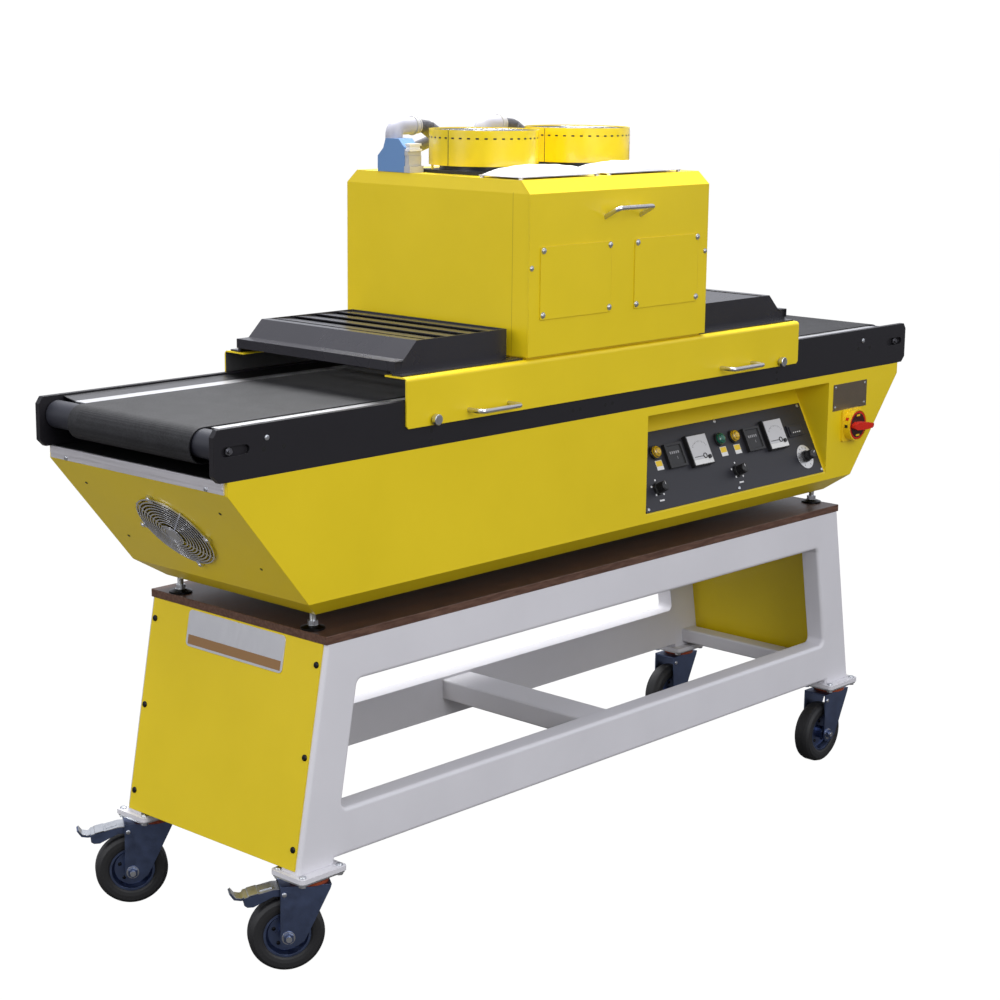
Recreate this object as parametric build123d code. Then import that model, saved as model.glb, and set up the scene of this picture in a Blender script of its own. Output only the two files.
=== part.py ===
"""Belt dryer with a UV lamp house over its tunnel, on a four-castor trolley stand.

Millimetres, +Z up. The belt runs along X, the control side faces -Y and the floor is Z = 0.
"""
import os
from math import hypot

from build123d import *

# Overall lines that several pieces share
BODY_WIDTH = 441.0            # cabinet, board, stand frames and conveyor plates are flush
FACE_Y = BODY_WIDTH / 2       # front face at -FACE_Y, back face at +FACE_Y
PLATE_LENGTH = 1890.0         # conveyor side plates, the longest pieces
PLATE_BOTTOM = 830.0          # plates stand on the cabinet's deck
PLATE_TOP = 911.0
PLATE_THICK = 10.0
PLATE_CORNER = 11.0           # bevelled corners of the plates
SLOT_X = (875.0, 930.0)       # tensioning slots for the end rollers
SLOT_Z = 876.0
SLOT_HEIGHT = 14.5
SLOT_DEPTH = 6.0

# Stand
BOARD_LENGTH = 1441.0
BOARD_TOP = 553.0
BOARD_THICK = 14.0
LEG_SPLAY = 0.18              # mm outward for each mm down
LEG_WIDTH = 80.0
TUBE_DEPTH = 40.0             # tube size across the stand
TOP_RAIL = 70.0
LOW_RAIL = 80.0
LOW_RAIL_BOTTOM = 178.0
TUBE_ROUND = 7.0
FRAME_CORNER = 12.0           # inner corners of the frame's window
FOOT_PLATE_TOP = 170.0
FOOT_PLATE_THICK = 8.0
FOOT_PLATE = (100.0, 78.0)
FOOT_PLATE_AT = (744.0, 201.0)
END_RAIL = (40.0, 30.0)       # lower rail at each end, X by Z
END_RAIL_INNER = 729.0
MIDDLE_BAR = (80.0, 40.0)
MIDDLE_BAR_TOP = 254.0
PANEL_THICK = 2.0
PANEL_BOTTOM = 176.0
PANEL_HALF_WIDTH = 212.0
PANEL_LIP = 26.0

# Castors
WHEEL_DIA = 125.0
TYRE_WIDTH = 36.0
TYRE_INNER_DIA = 78.0
HUB_DIA = 26.0
HUB_LENGTH = 42.0
AXLE_DIA = 12.0
AXLE_GAP = 0.3                # all round, between axle and hub bore
FORK_GAP = 48.0               # between the fork's cheeks
FORK_SHEET = 3.0
FORK_TOP = 149.0
CASTOR_TRAIL = 38.0
SWIVEL_GAP = 0.6
SWIVEL_DIA = 60.0
TOP_PLATE_THICK = 3.0
KING_PIN_DIA = 12.0
LEFT_SWIVEL = 146.0           # heading of the wheel from its swivel, degrees from +X
RIGHT_SWIVEL = 180.0
PEDAL_WIDTH = 36.0
PEDAL_PIVOT = (44.0, 136.0)   # out from the swivel, height
PEDAL_PIN_DIA = 6.0
PEDAL_SHEET = 2.5
PEDAL_TIP_WIDTH = 24.0

# Levelling feet under the cabinet
FOOT_AT = (700.0, 166.0)
FOOT_PAD = (40.0, 7.0)
FOOT_ROD_DIA = 10.0

# Cabinet
CABINET_HALF = 919.5          # half length at the deck
CABINET_RIM = 22.0            # short upright part below the deck
SLOPE_FOOT = (757.5, 612.0)   # where the sloped end meets the lower bevel
CABINET_BOTTOM = 582.0
BOTTOM_HALF = (712.5, 186.5)
TRIM_HEIGHT = 20.0

# Control recess and the panel in it
RECESS_X = (80.5, 666.0)
RECESS_Z = (627.0, 813.0)
RECESS_BACK_Y = -126.5        # the sloped floor of the recess meets its ceiling here
PANEL_X = (83.0, 658.5)
PANEL_RUN = (3.0, 153.0)      # up the slope from the lower lip
PANEL_SHEET = 2.5
INSTRUMENT_UP = 98.5          # middle of the meters, up the slope
METER_X = (285.0, 534.0)
METER_SIZE = 63.0
METER_PROUD = 10.0
COUNTER_X = (213.0, 463.0)
COUNTER_SIZE = (52.0, 48.0)
COUNTER_PROUD = 8.0
LAMP_X = (161.0, 362.0, 408.0)
LAMP_UP = 112.0
LAMP_DIA = 22.0
ROCKER_X = 609.0
KNOB_X = (136.0, 385.0)
KNOB_UP = 43.5
SPEED_KNOB_X = 615.0
SPEED_KNOB_UP = 41.5
KNOB_DIA = 20.0
KNOB_HEIGHT = 22.0
KNOB_GAP = 0.6

# Main switch
SWITCH_AT = (749.0, 718.5)
SWITCH_BASE = (67.0, 4.0)
COLLAR_DIA = 65.0
COLLAR_PROUD = 20.0
ROTOR_DIA = 58.0
ROTOR_DEPTH = 9.0
ROTOR_GAP = 1.0
SWITCH_REACH = 41.5           # handle's top from the cabinet's face

# Fan in the left end
END_FAN_UP = 128.0            # down the slope from the rim
END_FAN_Y = 2.0
END_FAN_DIA = 144.0
END_FAN_DEPTH = 34.0
GRILLE_WIRE = 2.4
GRILLE_RINGS = 9
GRILLE_RISE = 6.0             # the guard is domed outward by this much

# Belt and bed
ROLLER_X = 912.0
ROLLER_Z = 880.5
ROLLER_DIA = 45.0
BELT_TOP = 905.0
BELT_THICK = 2.0
BELT_DROP = 57.0              # height of the whole loop
BELT_WIDTH = 300.0
BELT_OFF = -8.0               # the belt runs a little to the front
BED_HALF = 897.0
BED_FLAT = 178.0
BED_THICK = 2.0

# Skirts over the side plates
SKIRT_HALF = 546.5
SKIRT_BOTTOM = 865.0
SKIRT_TOP = 948.0
SKIRT_SHEET = 3.0
SKIRT_LIP = 50.0
SKIRT_ROUND = 7.0
HANDLE_X = (-352.0, 342.0)
HANDLE_Z = 881.0
HANDLE_SPAN = 98.0
HANDLE_REACH = 31.0
HANDLE_ROD = 8.0
THUMB_KNOB_X = 484.0
THUMB_KNOB_Z = 875.0

# Tunnel covers
COVER_BASE = 3.0
COVER_HALF_WIDTH = 190.0
COVER_OUT = 544.0             # outer lip from the middle of the dryer
COVER_SHELF = 520.0
COVER_CREST = 490.0
COVER_TOP = 1001.0
COVER_SHELF_Z = 972.0
COVER_LIP_Z = 955.0
COVER_SHEET = 2.0
COVER_LIP_OVER = 4.0          # the lip reaches past the flanks
COVER_TO_HOUSE = 19.5
BLADE_PITCH = 50.0
BLADE_WIDTH = 40.0
BLADE_DROP = 3.2              # towards the house
BLADES = 4

# Lamp house
HOUSE_X = (-254.0, 241.0)
HOUSE_FACE_Y = 221.8
HOUSE_BOTTOM = 952.5
HOUSE_WALL_TOP = 1228.0
HOUSE_TOP = 1250.5
HOUSE_BEVEL = 23.0            # level width of the front and back bevels
HOUSE_END_LEAN = 3.0
PLINTH_INSET = 6.0
COVER_PLATE = 3.0
HATCH_X = ((-226.5, -38.5), (27.0, 211.0))
HATCH_Z = (1014.5, 1138.5)
HATCH_PROUD = 2.0
HOUSE_HANDLE_X = -6.4
HOUSE_HANDLE_Z = 1181.0

# Roof fans
FAN_X = (-130.0, 124.0)
FAN_PLATE = 172.0
FAN_PLATE_THICK = 6.0
SHROUD_DIA = 196.0
SHROUD_SHEET = 2.0
SHROUD_Z = (1265.0, 1327.0)
FAN_BARREL_DIA = 158.0

# Filters on the roof
FILTER_X = (-250.0, -18.0)    # left edges
FILTER_SIZE = (206.0, 97.0)
FILTER_FRONT_Y = -197.0
FILTER_FRAME = 1.6
FILTER_LIP = 9.0
FILTER_FOOT = (8.0, 3.0)      # round feet that hold the frames off the roof
PAD_HEIGHT = 21.0

# Connectors on the roof
PLUG_X = (-235.0, -8.0)
PLUG_Y = (78.0, 145.0)
PLUG_WIDTH = 34.0
PLUG_TOP = 1309.0
ELBOW_DIA = 31.0
ELBOW_AXIS_Z = 1330.0
ELBOW_Y = 121.0
ELBOW_REACH = 50.0
COUPLING = (27.0, 8.0)        # collar between elbow and hose
HOSE_DIA = 21.0
HOSE_BEND = 15.0
HOSE_END_Z = 740.0


def prism(points, plane, start, end):
    """Straight solid from an outline in 'xz', 'yz' or 'xy', between two levels of the third axis."""
    place = {
        "xz": lambda p: (p[0], start, p[1]),
        "yz": lambda p: (start, p[0], p[1]),
        "xy": lambda p: (p[0], p[1], start),
    }[plane]
    way = {"xz": (0, 1, 0), "yz": (1, 0, 0), "xy": (0, 0, 1)}[plane]
    face = make_face(Polyline(*[place(p) for p in points], close=True))
    return extrude(face, amount=end - start, dir=way)


def block(x, y, z):
    """Box from its limits."""
    size = (x[1] - x[0], y[1] - y[0], z[1] - z[0])
    return Pos((x[0] + x[1]) / 2, (y[0] + y[1]) / 2, (z[0] + z[1]) / 2) * Box(*size)


def rounded_block(x, y, z, radius, axis=Axis.Z):
    return fillet(block(x, y, z).edges().filter_by(axis), radius)


def turned(points, at, heading=0.0):
    """Ring or disc turned about a level axle: points are (radius, along), at is the middle."""
    face = make_face(Polyline(*[(r, 0, a) for r, a in points], close=True))
    ring = revolve(face, Axis.Z, 360)
    return Pos(*at) * Rot(0, 0, heading) * Rot(90, 0, 0) * ring


def rod(start, end, dia):
    """Round bar between two points."""
    direction = Vector(*end) - Vector(*start)
    plane = Plane(origin=start, z_dir=direction)
    return extrude(plane * Circle(dia / 2), amount=direction.length)


def round_sweep(points, bend, dia):
    """Round bar along straight runs joined by bends."""
    path = FilletPolyline(*points, radius=bend)
    return sweep(Plane(origin=path @ 0, z_dir=path % 0) * Circle(dia / 2), path=path)


def mirrored(piece, plane=Plane.XZ):
    return mirror(piece, about=plane)


def joined(pieces):
    """One solid from several that touch or overlap."""
    whole = pieces[0]
    for piece in pieces[1:]:
        whole = whole + piece
    return whole


def leg_x(z):
    """Outer face of the legs at height z."""
    return BOARD_LENGTH / 2 - PANEL_THICK + LEG_SPLAY * (BOARD_TOP - BOARD_THICK - z)


def stand_frame():
    """Front frame: two splayed legs and two rails, welded and ground to one piece."""
    top, low = BOARD_TOP - BOARD_THICK, FOOT_PLATE_TOP
    rail_top, window_top = LOW_RAIL_BOTTOM + LOW_RAIL, top - TOP_RAIL
    outline = [(-leg_x(top), top), (leg_x(top), top), (leg_x(low), low),
               (leg_x(low) - LEG_WIDTH, low), (leg_x(LOW_RAIL_BOTTOM) - LEG_WIDTH, LOW_RAIL_BOTTOM),
               (LEG_WIDTH - leg_x(LOW_RAIL_BOTTOM), LOW_RAIL_BOTTOM),
               (LEG_WIDTH - leg_x(low), low), (-leg_x(low), low)]
    window = [(side * (leg_x(z) - LEG_WIDTH), z) for side, z in
              ((-1, window_top), (1, window_top), (1, rail_top), (-1, rail_top))]
    frame = prism(outline, "xz", -FACE_Y, TUBE_DEPTH - FACE_Y)
    hole = prism(window, "xz", -FACE_Y - 1, TUBE_DEPTH - FACE_Y + 1)
    hole = fillet(hole.edges().filter_by(Axis.Y), FRAME_CORNER)
    frame -= hole
    front = frame.faces().sort_by(Axis.Y)[0]
    return fillet(front.edges().filter_by_position(Axis.Z, low + 1, top - 1), TUBE_ROUND)


def stand_pieces():
    frame = stand_frame()
    inner_y = FACE_Y - TUBE_DEPTH
    bars = [block((side_x[0], side_x[1]), (-inner_y, inner_y),
                  (LOW_RAIL_BOTTOM, LOW_RAIL_BOTTOM + END_RAIL[1]))
            for side_x in ((END_RAIL_INNER, END_RAIL_INNER + END_RAIL[0]),
                           (-END_RAIL_INNER - END_RAIL[0], -END_RAIL_INNER))]
    bars.append(block((-MIDDLE_BAR[0] / 2, MIDDLE_BAR[0] / 2), (-inner_y, inner_y),
                      (MIDDLE_BAR_TOP - MIDDLE_BAR[1], MIDDLE_BAR_TOP)))
    bars = [fillet(bar.edges().filter_by(Axis.Y), 4.0) for bar in bars]
    top = BOARD_TOP - BOARD_THICK
    skin = prism([(leg_x(top), top), (leg_x(top) + PANEL_THICK, top),
                  (leg_x(PANEL_BOTTOM) + PANEL_THICK, PANEL_BOTTOM),
                  (leg_x(PANEL_BOTTOM), PANEL_BOTTOM)], "xz", -PANEL_HALF_WIDTH, PANEL_HALF_WIDTH)
    lip = block((leg_x(PANEL_BOTTOM) - PANEL_LIP, leg_x(PANEL_BOTTOM) + 0.5),
                (-inner_y + 3, inner_y - 3), (PANEL_BOTTOM, LOW_RAIL_BOTTOM))
    right_panel = skin + lip
    board = block((-BOARD_LENGTH / 2, BOARD_LENGTH / 2), (-FACE_Y, FACE_Y), (top, BOARD_TOP))
    board = chamfer(board.edges(), 0.8)
    plates, castor_plates = [], []
    for sx in (-1, 1):
        for sy in (-1, 1):
            x, y = sx * FOOT_PLATE_AT[0], sy * FOOT_PLATE_AT[1]
            half = (FOOT_PLATE[0] / 2, FOOT_PLATE[1] / 2)
            plates.append(rounded_block((x - half[0], x + half[0]), (y - half[1], y + half[1]),
                                        (FOOT_PLATE_TOP - FOOT_PLATE_THICK, FOOT_PLATE_TOP), 8.0))
            castor_plates.append(Pos(x, y, 0) * castor_top_plate())
    return {
        "front_frame": frame,
        "back_frame": mirrored(frame),
        "stand_crossbars": bars,
        "right_end_panel": right_panel,
        "left_end_panel": mirrored(right_panel, Plane.YZ),
        "tabletop": board,
        "foot_plates": plates,
        "castor_top_plates": castor_plates,
    }


def castor_top_plate():
    """Plate under the stand's foot plate, with the fixed half of the ball race and the king pin."""
    top = FOOT_PLATE_TOP - FOOT_PLATE_THICK
    half = (FOOT_PLATE[0] / 2 - 1, FOOT_PLATE[1] / 2 - 1)
    plate = rounded_block((-half[0], half[0]), (-half[1], half[1]), (top - TOP_PLATE_THICK, top), 10.0)
    race_low = FORK_TOP + SWIVEL_GAP
    race = [(0, top - TOP_PLATE_THICK), (SWIVEL_DIA / 2 + 4, top - TOP_PLATE_THICK),
            (SWIVEL_DIA / 2, top - TOP_PLATE_THICK - 4), (SWIVEL_DIA / 2, race_low), (0, race_low)]
    nut_top = FORK_TOP - FORK_SHEET - SWIVEL_GAP
    pin = [(0, race_low), (KING_PIN_DIA / 2, race_low), (KING_PIN_DIA / 2, nut_top),
           (10.0, nut_top), (10.0, nut_top - 6), (0, nut_top - 6)]
    discs = [revolve(make_face(Polyline(*[(r, 0, z) for r, z in shape], close=True)), Axis.Z, 360)
             for shape in (race, pin)]
    return joined([plate] + discs)


def castor_fork():
    """Pressed fork with its axle bolt, in the castor's own frame: +X is the way the wheel trails."""
    axle_z = WHEEL_DIA / 2
    outer = FORK_GAP / 2 + FORK_SHEET
    crown = rounded_block((-33, 50), (-outer, outer), (FORK_TOP - FORK_SHEET, FORK_TOP), 6.0)
    crown -= Pos(0, 0, FORK_TOP - FORK_SHEET / 2) * Cylinder(KING_PIN_DIA / 2 + SWIVEL_GAP,
                                                             FORK_SHEET + 2)
    ring = revolve(make_face(Polyline((KING_PIN_DIA / 2 + SWIVEL_GAP, 0, FORK_TOP - FORK_SHEET),
                                      (SWIVEL_DIA / 2 - 4, 0, FORK_TOP - FORK_SHEET),
                                      (SWIVEL_DIA / 2, 0, FORK_TOP),
                                      (KING_PIN_DIA / 2 + SWIVEL_GAP, 0, FORK_TOP),
                                      close=True)), Axis.Z, 360)
    cheek_line = [(-33, FORK_TOP), (50, FORK_TOP), (51, axle_z - 7), (45, axle_z - 15),
                  (23, axle_z - 15), (12, axle_z - 8), (-3, 84), (-31, 142)]
    pieces = [crown, ring]
    for side in (-1, 1):
        start = side * FORK_GAP / 2 if side > 0 else -outer
        pieces.append(prism(cheek_line, "xz", start, start + FORK_SHEET))
    pieces.append(rod((CASTOR_TRAIL, -outer, axle_z), (CASTOR_TRAIL, outer, axle_z), AXLE_DIA))
    for side in (-1, 1):
        nut = Plane(origin=(CASTOR_TRAIL, side * outer, axle_z), z_dir=(0, side, 0))
        pieces.append(extrude(nut * RegularPolygon(9.0, 6), amount=6.0))
    return joined(pieces)


def pedal_pin():
    outer = FORK_GAP / 2 + FORK_SHEET
    x, z = PEDAL_PIVOT
    return rod((x, -outer, z), (x, outer, z), PEDAL_PIN_DIA)


def brake_pedal():
    """Folded sheet lever over the tyre, swinging on a pin between the fork's cheeks."""
    half = PEDAL_WIDTH / 2
    outline = [(37, 130), (60, 131), (84, 119.5), (92, 115.5), (102, 115.5), (107, 119), (108, 131),
               (60, 142), (37, 142)]
    inside = [(39.5, 112), (39.5, 139.5), (60, 139.5), (105.5, 129), (104.5, 112)]
    tongue = [(106, 126), (112, 125.5), (123, 127.5), (130.5, 138), (128, 139.5), (121, 130.5),
              (112, 128.5), (106, 131)]
    tip = PEDAL_TIP_WIDTH / 2
    body = prism(outline, "xz", -half, half) + prism(tongue, "xz", -tip, tip)
    hollow = prism(inside, "xz", -half + PEDAL_SHEET, half - PEDAL_SHEET)
    bore = rod((PEDAL_PIVOT[0], -half - 1, PEDAL_PIVOT[1]), (PEDAL_PIVOT[0], half + 1, PEDAL_PIVOT[1]),
               PEDAL_PIN_DIA + 2 * AXLE_GAP)
    return body - hollow - bore


def castor_wheel():
    """Pressed steel wheel turned about Y through the axle."""
    bore, half = AXLE_DIA / 2 + AXLE_GAP, HUB_LENGTH / 2
    rim, seat = TYRE_INNER_DIA / 2, TYRE_WIDTH / 2 - 4
    profile = [(bore, -half), (HUB_DIA / 2, -half), (HUB_DIA / 2, -4), (rim - 9, -4), (rim - 4, -seat),
               (rim, -seat), (rim, seat), (rim - 4, seat), (rim - 9, 4), (HUB_DIA / 2, 4),
               (HUB_DIA / 2, half), (bore, half)]
    return turned(profile, (CASTOR_TRAIL, 0, WHEEL_DIA / 2))


def castor_tyre():
    inner, outer, half = TYRE_INNER_DIA / 2, WHEEL_DIA / 2, TYRE_WIDTH / 2
    side = [(inner, half - 3), (inner + 3, half - 1), (inner + 9, half), (outer - 7, half),
            (outer - 2, half - 4), (outer, half - 10)]
    profile = side + [(r, -a) for r, a in reversed(side)]
    return turned(profile, (CASTOR_TRAIL, 0, WHEEL_DIA / 2))


def castor_pieces():
    fork, wheel, tyre, pedal = castor_fork(), castor_wheel(), castor_tyre(), brake_pedal()
    braked_fork = fork + pedal_pin()
    pieces = {}
    for name, sx, sy, braked in (("front_left", -1, -1, True), ("back_left", -1, 1, True),
                                 ("front_right", 1, -1, False), ("back_right", 1, 1, False)):
        heading = LEFT_SWIVEL if braked else RIGHT_SWIVEL
        at = Pos(sx * FOOT_PLATE_AT[0], sy * FOOT_PLATE_AT[1], 0) * Rot(0, 0, heading)
        pieces[name + "_fork"] = at * (braked_fork if braked else fork)
        pieces[name + "_wheel"] = at * wheel
        pieces[name + "_tyre"] = at * tyre
        if braked:
            pieces[name + "_brake_pedal"] = at * pedal
    return pieces


def levelling_feet():
    """Threaded feet that hold the cabinet clear of the board."""
    feet = []
    for sx in (-1, 1):
        for sy in (-1, 1):
            profile = [(0, BOARD_TOP), (FOOT_PAD[0] / 2, BOARD_TOP),
                       (FOOT_PAD[0] / 2, BOARD_TOP + 3), (9, BOARD_TOP + FOOT_PAD[1]),
                       (FOOT_ROD_DIA / 2, BOARD_TOP + FOOT_PAD[1]),
                       (FOOT_ROD_DIA / 2, CABINET_BOTTOM), (0, CABINET_BOTTOM)]
            foot = revolve(make_face(Polyline(*[(r, 0, z) for r, z in profile], close=True)),
                           Axis.Z, 360)
            nut = Plane.XY.offset(BOARD_TOP + FOOT_PAD[1]) * RegularPolygon(9.0, 6)
            foot += extrude(nut, amount=7.0)
            feet.append(Pos(sx * FOOT_AT[0], sy * FOOT_AT[1], 0) * foot)
    return feet


def slope_plane(up, y, rise=0.0):
    """Plane on the left sloped end: up is down the slope from the rim, rise is outward."""
    rim_z = PLATE_BOTTOM - CABINET_RIM
    run, drop = CABINET_HALF - SLOPE_FOOT[0], rim_z - SLOPE_FOOT[1]
    length = hypot(run, drop)
    along, normal = (run / length, -drop / length), (-drop / length, -run / length)
    origin = (-CABINET_HALF + along[0] * up + normal[0] * rise, y,
              rim_z + along[1] * up + normal[1] * rise)
    return Plane(origin=origin, x_dir=(0, 1, 0), z_dir=(normal[0], 0, normal[1]))


def cabinet():
    """Closed housing with sloped ends, a mitred bevel round its bottom and the control recess."""
    rim_z = PLATE_BOTTOM - CABINET_RIM
    long_line = [(CABINET_HALF, PLATE_BOTTOM), (CABINET_HALF, rim_z), SLOPE_FOOT,
                 (BOTTOM_HALF[0], CABINET_BOTTOM)]
    long_line += [(-x, z) for x, z in reversed(long_line)]
    cross_line = [(FACE_Y, PLATE_BOTTOM), (FACE_Y, SLOPE_FOOT[1]), (BOTTOM_HALF[1], CABINET_BOTTOM)]
    cross_line += [(-y, z) for y, z in reversed(cross_line)]
    body = prism(long_line, "xz", -FACE_Y, FACE_Y) & prism(cross_line, "yz", -CABINET_HALF,
                                                           CABINET_HALF)
    body -= prism([(-FACE_Y - 1, RECESS_Z[0] - 1 / recess_slope()), (-FACE_Y - 1, RECESS_Z[1]),
                   (RECESS_BACK_Y, RECESS_Z[1]), (-FACE_Y, RECESS_Z[0])],
                  "yz", RECESS_X[0], RECESS_X[1])
    fan_hole = slope_plane(END_FAN_UP, END_FAN_Y, 1.0) * Circle(END_FAN_DIA / 2)
    return body - extrude(fan_hole, amount=-END_FAN_DEPTH - 1.0)


def recess_slope():
    """How far the recess floor runs back for each mm up."""
    return (RECESS_BACK_Y + FACE_Y) / (RECESS_Z[1] - RECESS_Z[0])


def panel_plane(x, up, proud=0.0):
    """Plane on the recess floor: up is measured up the slope from its lower lip."""
    run, rise = RECESS_BACK_Y + FACE_Y, RECESS_Z[1] - RECESS_Z[0]
    length = hypot(run, rise)
    along, normal = (run / length, rise / length), (-rise / length, run / length)
    origin = (x, -FACE_Y + along[0] * up + normal[0] * proud, RECESS_Z[0] + along[1] * up
              + normal[1] * proud)
    return Plane(origin=origin, x_dir=(1, 0, 0), z_dir=(0, normal[0], normal[1]))


def on_panel(x, up, sketch, height, start=PANEL_SHEET):
    """Piece that stands on the control panel's face."""
    return extrude(panel_plane(x, up, start) * sketch, amount=height)


def control_pieces():
    middle = (PANEL_X[0] + PANEL_X[1]) / 2
    width, run = PANEL_X[1] - PANEL_X[0], PANEL_RUN[1] - PANEL_RUN[0]
    panel = on_panel(middle, PANEL_RUN[0] + run / 2, Rectangle(width, run), PANEL_SHEET, 0.0)
    rocker_frame = on_panel(ROCKER_X, INSTRUMENT_UP, Rectangle(50, 24), 4.0)
    rocker = on_panel(ROCKER_X, INSTRUMENT_UP, Rectangle(42, 17), 2.5, PANEL_SHEET + 4.0)
    panel = joined([panel, rocker_frame, rocker])
    meters, counters, lamps = [], [], []
    for x in METER_X:
        case = on_panel(x, INSTRUMENT_UP, Rectangle(METER_SIZE, METER_SIZE), METER_PROUD)
        meters.append(chamfer(case.faces().sort_by(Axis.Y)[0].edges(), 2.0))
    for x in COUNTER_X:
        case = on_panel(x, INSTRUMENT_UP, Rectangle(*COUNTER_SIZE), COUNTER_PROUD)
        window = on_panel(x, INSTRUMENT_UP, Rectangle(COUNTER_SIZE[0] - 10, COUNTER_SIZE[1] - 10), 3.0,
                          PANEL_SHEET + COUNTER_PROUD - 2.0)
        counters.append(case - window)
    for x in LAMP_X:
        bezel = on_panel(x, LAMP_UP, Circle(LAMP_DIA / 2 + 2.5), 4.0)
        lens = on_panel(x, LAMP_UP, Circle(LAMP_DIA / 2), 9.0, PANEL_SHEET + 4.0)
        lamps.append(bezel + chamfer(lens.edges().sort_by(Axis.Y)[:1], 4.0))
    pieces = {"control_panel": panel, "panel_meters": meters, "hour_counters": counters,
              "pilot_lamps": lamps}
    for name, x, up in (("left_selector_knob", KNOB_X[0], KNOB_UP),
                        ("middle_selector_knob", KNOB_X[1], KNOB_UP),
                        ("speed_knob", SPEED_KNOB_X, SPEED_KNOB_UP)):
        start = PANEL_SHEET + KNOB_GAP
        skirt = on_panel(x, up, Circle(KNOB_DIA / 2 + 2), 5.0, start)
        grip = on_panel(x, up, Circle(KNOB_DIA / 2 - 1), KNOB_HEIGHT - 5.0, start + 5.0)
        grip = chamfer(grip.edges().sort_by(Axis.Y)[:1], 1.5)
        pieces[name] = skirt + grip
    return pieces


def main_switch():
    x, z = SWITCH_AT
    face = Plane(origin=(x, -FACE_Y, z), x_dir=(1, 0, 0), z_dir=(0, -1, 0))
    base = extrude(face * RectangleRounded(SWITCH_BASE[0], SWITCH_BASE[0], 6), amount=SWITCH_BASE[1])
    collar = extrude(face.offset(SWITCH_BASE[1]) * Circle(COLLAR_DIA / 2),
                     amount=COLLAR_PROUD - SWITCH_BASE[1])
    well = extrude(face.offset(COLLAR_PROUD - ROTOR_DEPTH) * Circle(ROTOR_DIA / 2 + ROTOR_GAP),
                   amount=ROTOR_DEPTH + 1)
    low = COLLAR_PROUD - ROTOR_DEPTH + ROTOR_GAP
    rotor = extrude(face.offset(low) * Circle(ROTOR_DIA / 2), amount=ROTOR_DEPTH - 2.0)
    grip_line = [(-24, -3), (-14, -8), (8, -7.5), (30, -3.5), (33, 0), (30, 3.5), (8, 7.5), (-14, 8),
                 (-24, 3)]
    grip = make_face(Polyline(*grip_line, close=True))
    grip = extrude(face.offset(low + 3.0) * grip, amount=SWITCH_REACH - low - 3.0)
    grip &= Pos(x, -FACE_Y, z) * prism([(-24, -low), (24, -low), (24, -COLLAR_PROUD - 5),
                                        (33, -COLLAR_PROUD - 5), (33, -SWITCH_REACH + 4),
                                        (22, -SWITCH_REACH), (-24, -SWITCH_REACH + 14)],
                                       "xy", -20, 20)
    return {"switch_base": base + collar - well, "switch_handle": rotor + grip}


def conveyor_pieces():
    half = PLATE_LENGTH / 2
    c = PLATE_CORNER
    outline = [(-half + c, PLATE_BOTTOM), (-half, PLATE_BOTTOM + c), (-half, PLATE_TOP - c),
               (-half + c * 0.7, PLATE_TOP), (half - c * 0.7, PLATE_TOP), (half, PLATE_TOP - c),
               (half, PLATE_BOTTOM + c), (half - c, PLATE_BOTTOM)]
    plate = prism(outline, "xz", -FACE_Y, PLATE_THICK - FACE_Y)
    for side in (-1, 1):
        slot = Plane(origin=(side * sum(SLOT_X) / 2, -FACE_Y, SLOT_Z), x_dir=(1, 0, 0), z_dir=(0, -1, 0))
        slot *= SlotOverall(SLOT_X[1] - SLOT_X[0], SLOT_HEIGHT)
        plate -= extrude(slot, amount=-SLOT_DEPTH)
    inner = FACE_Y - PLATE_THICK
    rollers = []
    for side in (-1, 1):
        x = side * ROLLER_X
        drum = rod((x, -inner + 3, ROLLER_Z), (x, inner - 3, ROLLER_Z), ROLLER_DIA)
        shaft = rod((x, -inner, ROLLER_Z), (x, inner, ROLLER_Z), 20.0)
        rollers.append(drum + shaft)
    low, high = BELT_TOP - BELT_DROP, BELT_TOP
    loop = prism([(-ROLLER_X, low), (ROLLER_X, low), (ROLLER_X, high), (-ROLLER_X, high)], "xz",
                 BELT_OFF - BELT_WIDTH / 2, BELT_OFF + BELT_WIDTH / 2)
    core = prism([(-ROLLER_X, low + BELT_THICK), (ROLLER_X, low + BELT_THICK),
                  (ROLLER_X, high - BELT_THICK), (-ROLLER_X, high - BELT_THICK)], "xz",
                 BELT_OFF - BELT_WIDTH / 2, BELT_OFF + BELT_WIDTH / 2)
    for side in (-1, 1):
        ends = ((side * ROLLER_X, BELT_OFF - BELT_WIDTH / 2, high - BELT_DROP / 2),
                (side * ROLLER_X, BELT_OFF + BELT_WIDTH / 2, high - BELT_DROP / 2))
        loop += rod(*ends, BELT_DROP)
        core += rod(*ends, BELT_DROP - 2 * BELT_THICK)
    bed_top = BELT_TOP - BELT_THICK
    bed_line = [(-inner, bed_top + 5), (-BED_FLAT, bed_top), (BED_FLAT, bed_top),
                (inner, bed_top + 5), (inner, bed_top + 5 - BED_THICK), (BED_FLAT, bed_top - BED_THICK),
                (-BED_FLAT, bed_top - BED_THICK), (-inner, bed_top + 5 - BED_THICK)]
    bed = prism(bed_line, "yz", -BED_HALF, BED_HALF)
    return {"front_side_plate": plate, "back_side_plate": mirrored(plate), "end_rollers": rollers,
            "belt": loop - core, "slider_bed": bed}


def bow_handle(at, span, reach, lean, dia):
    """Round bar bent to a bow: two feet, and a grip that lies lean above them."""
    x, y, z = at
    return round_sweep([(x - span / 2, y, z), (x - span / 2, y - reach, z + lean),
                        (x + span / 2, y - reach, z + lean), (x + span / 2, y, z)], 9.0, dia)


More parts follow.
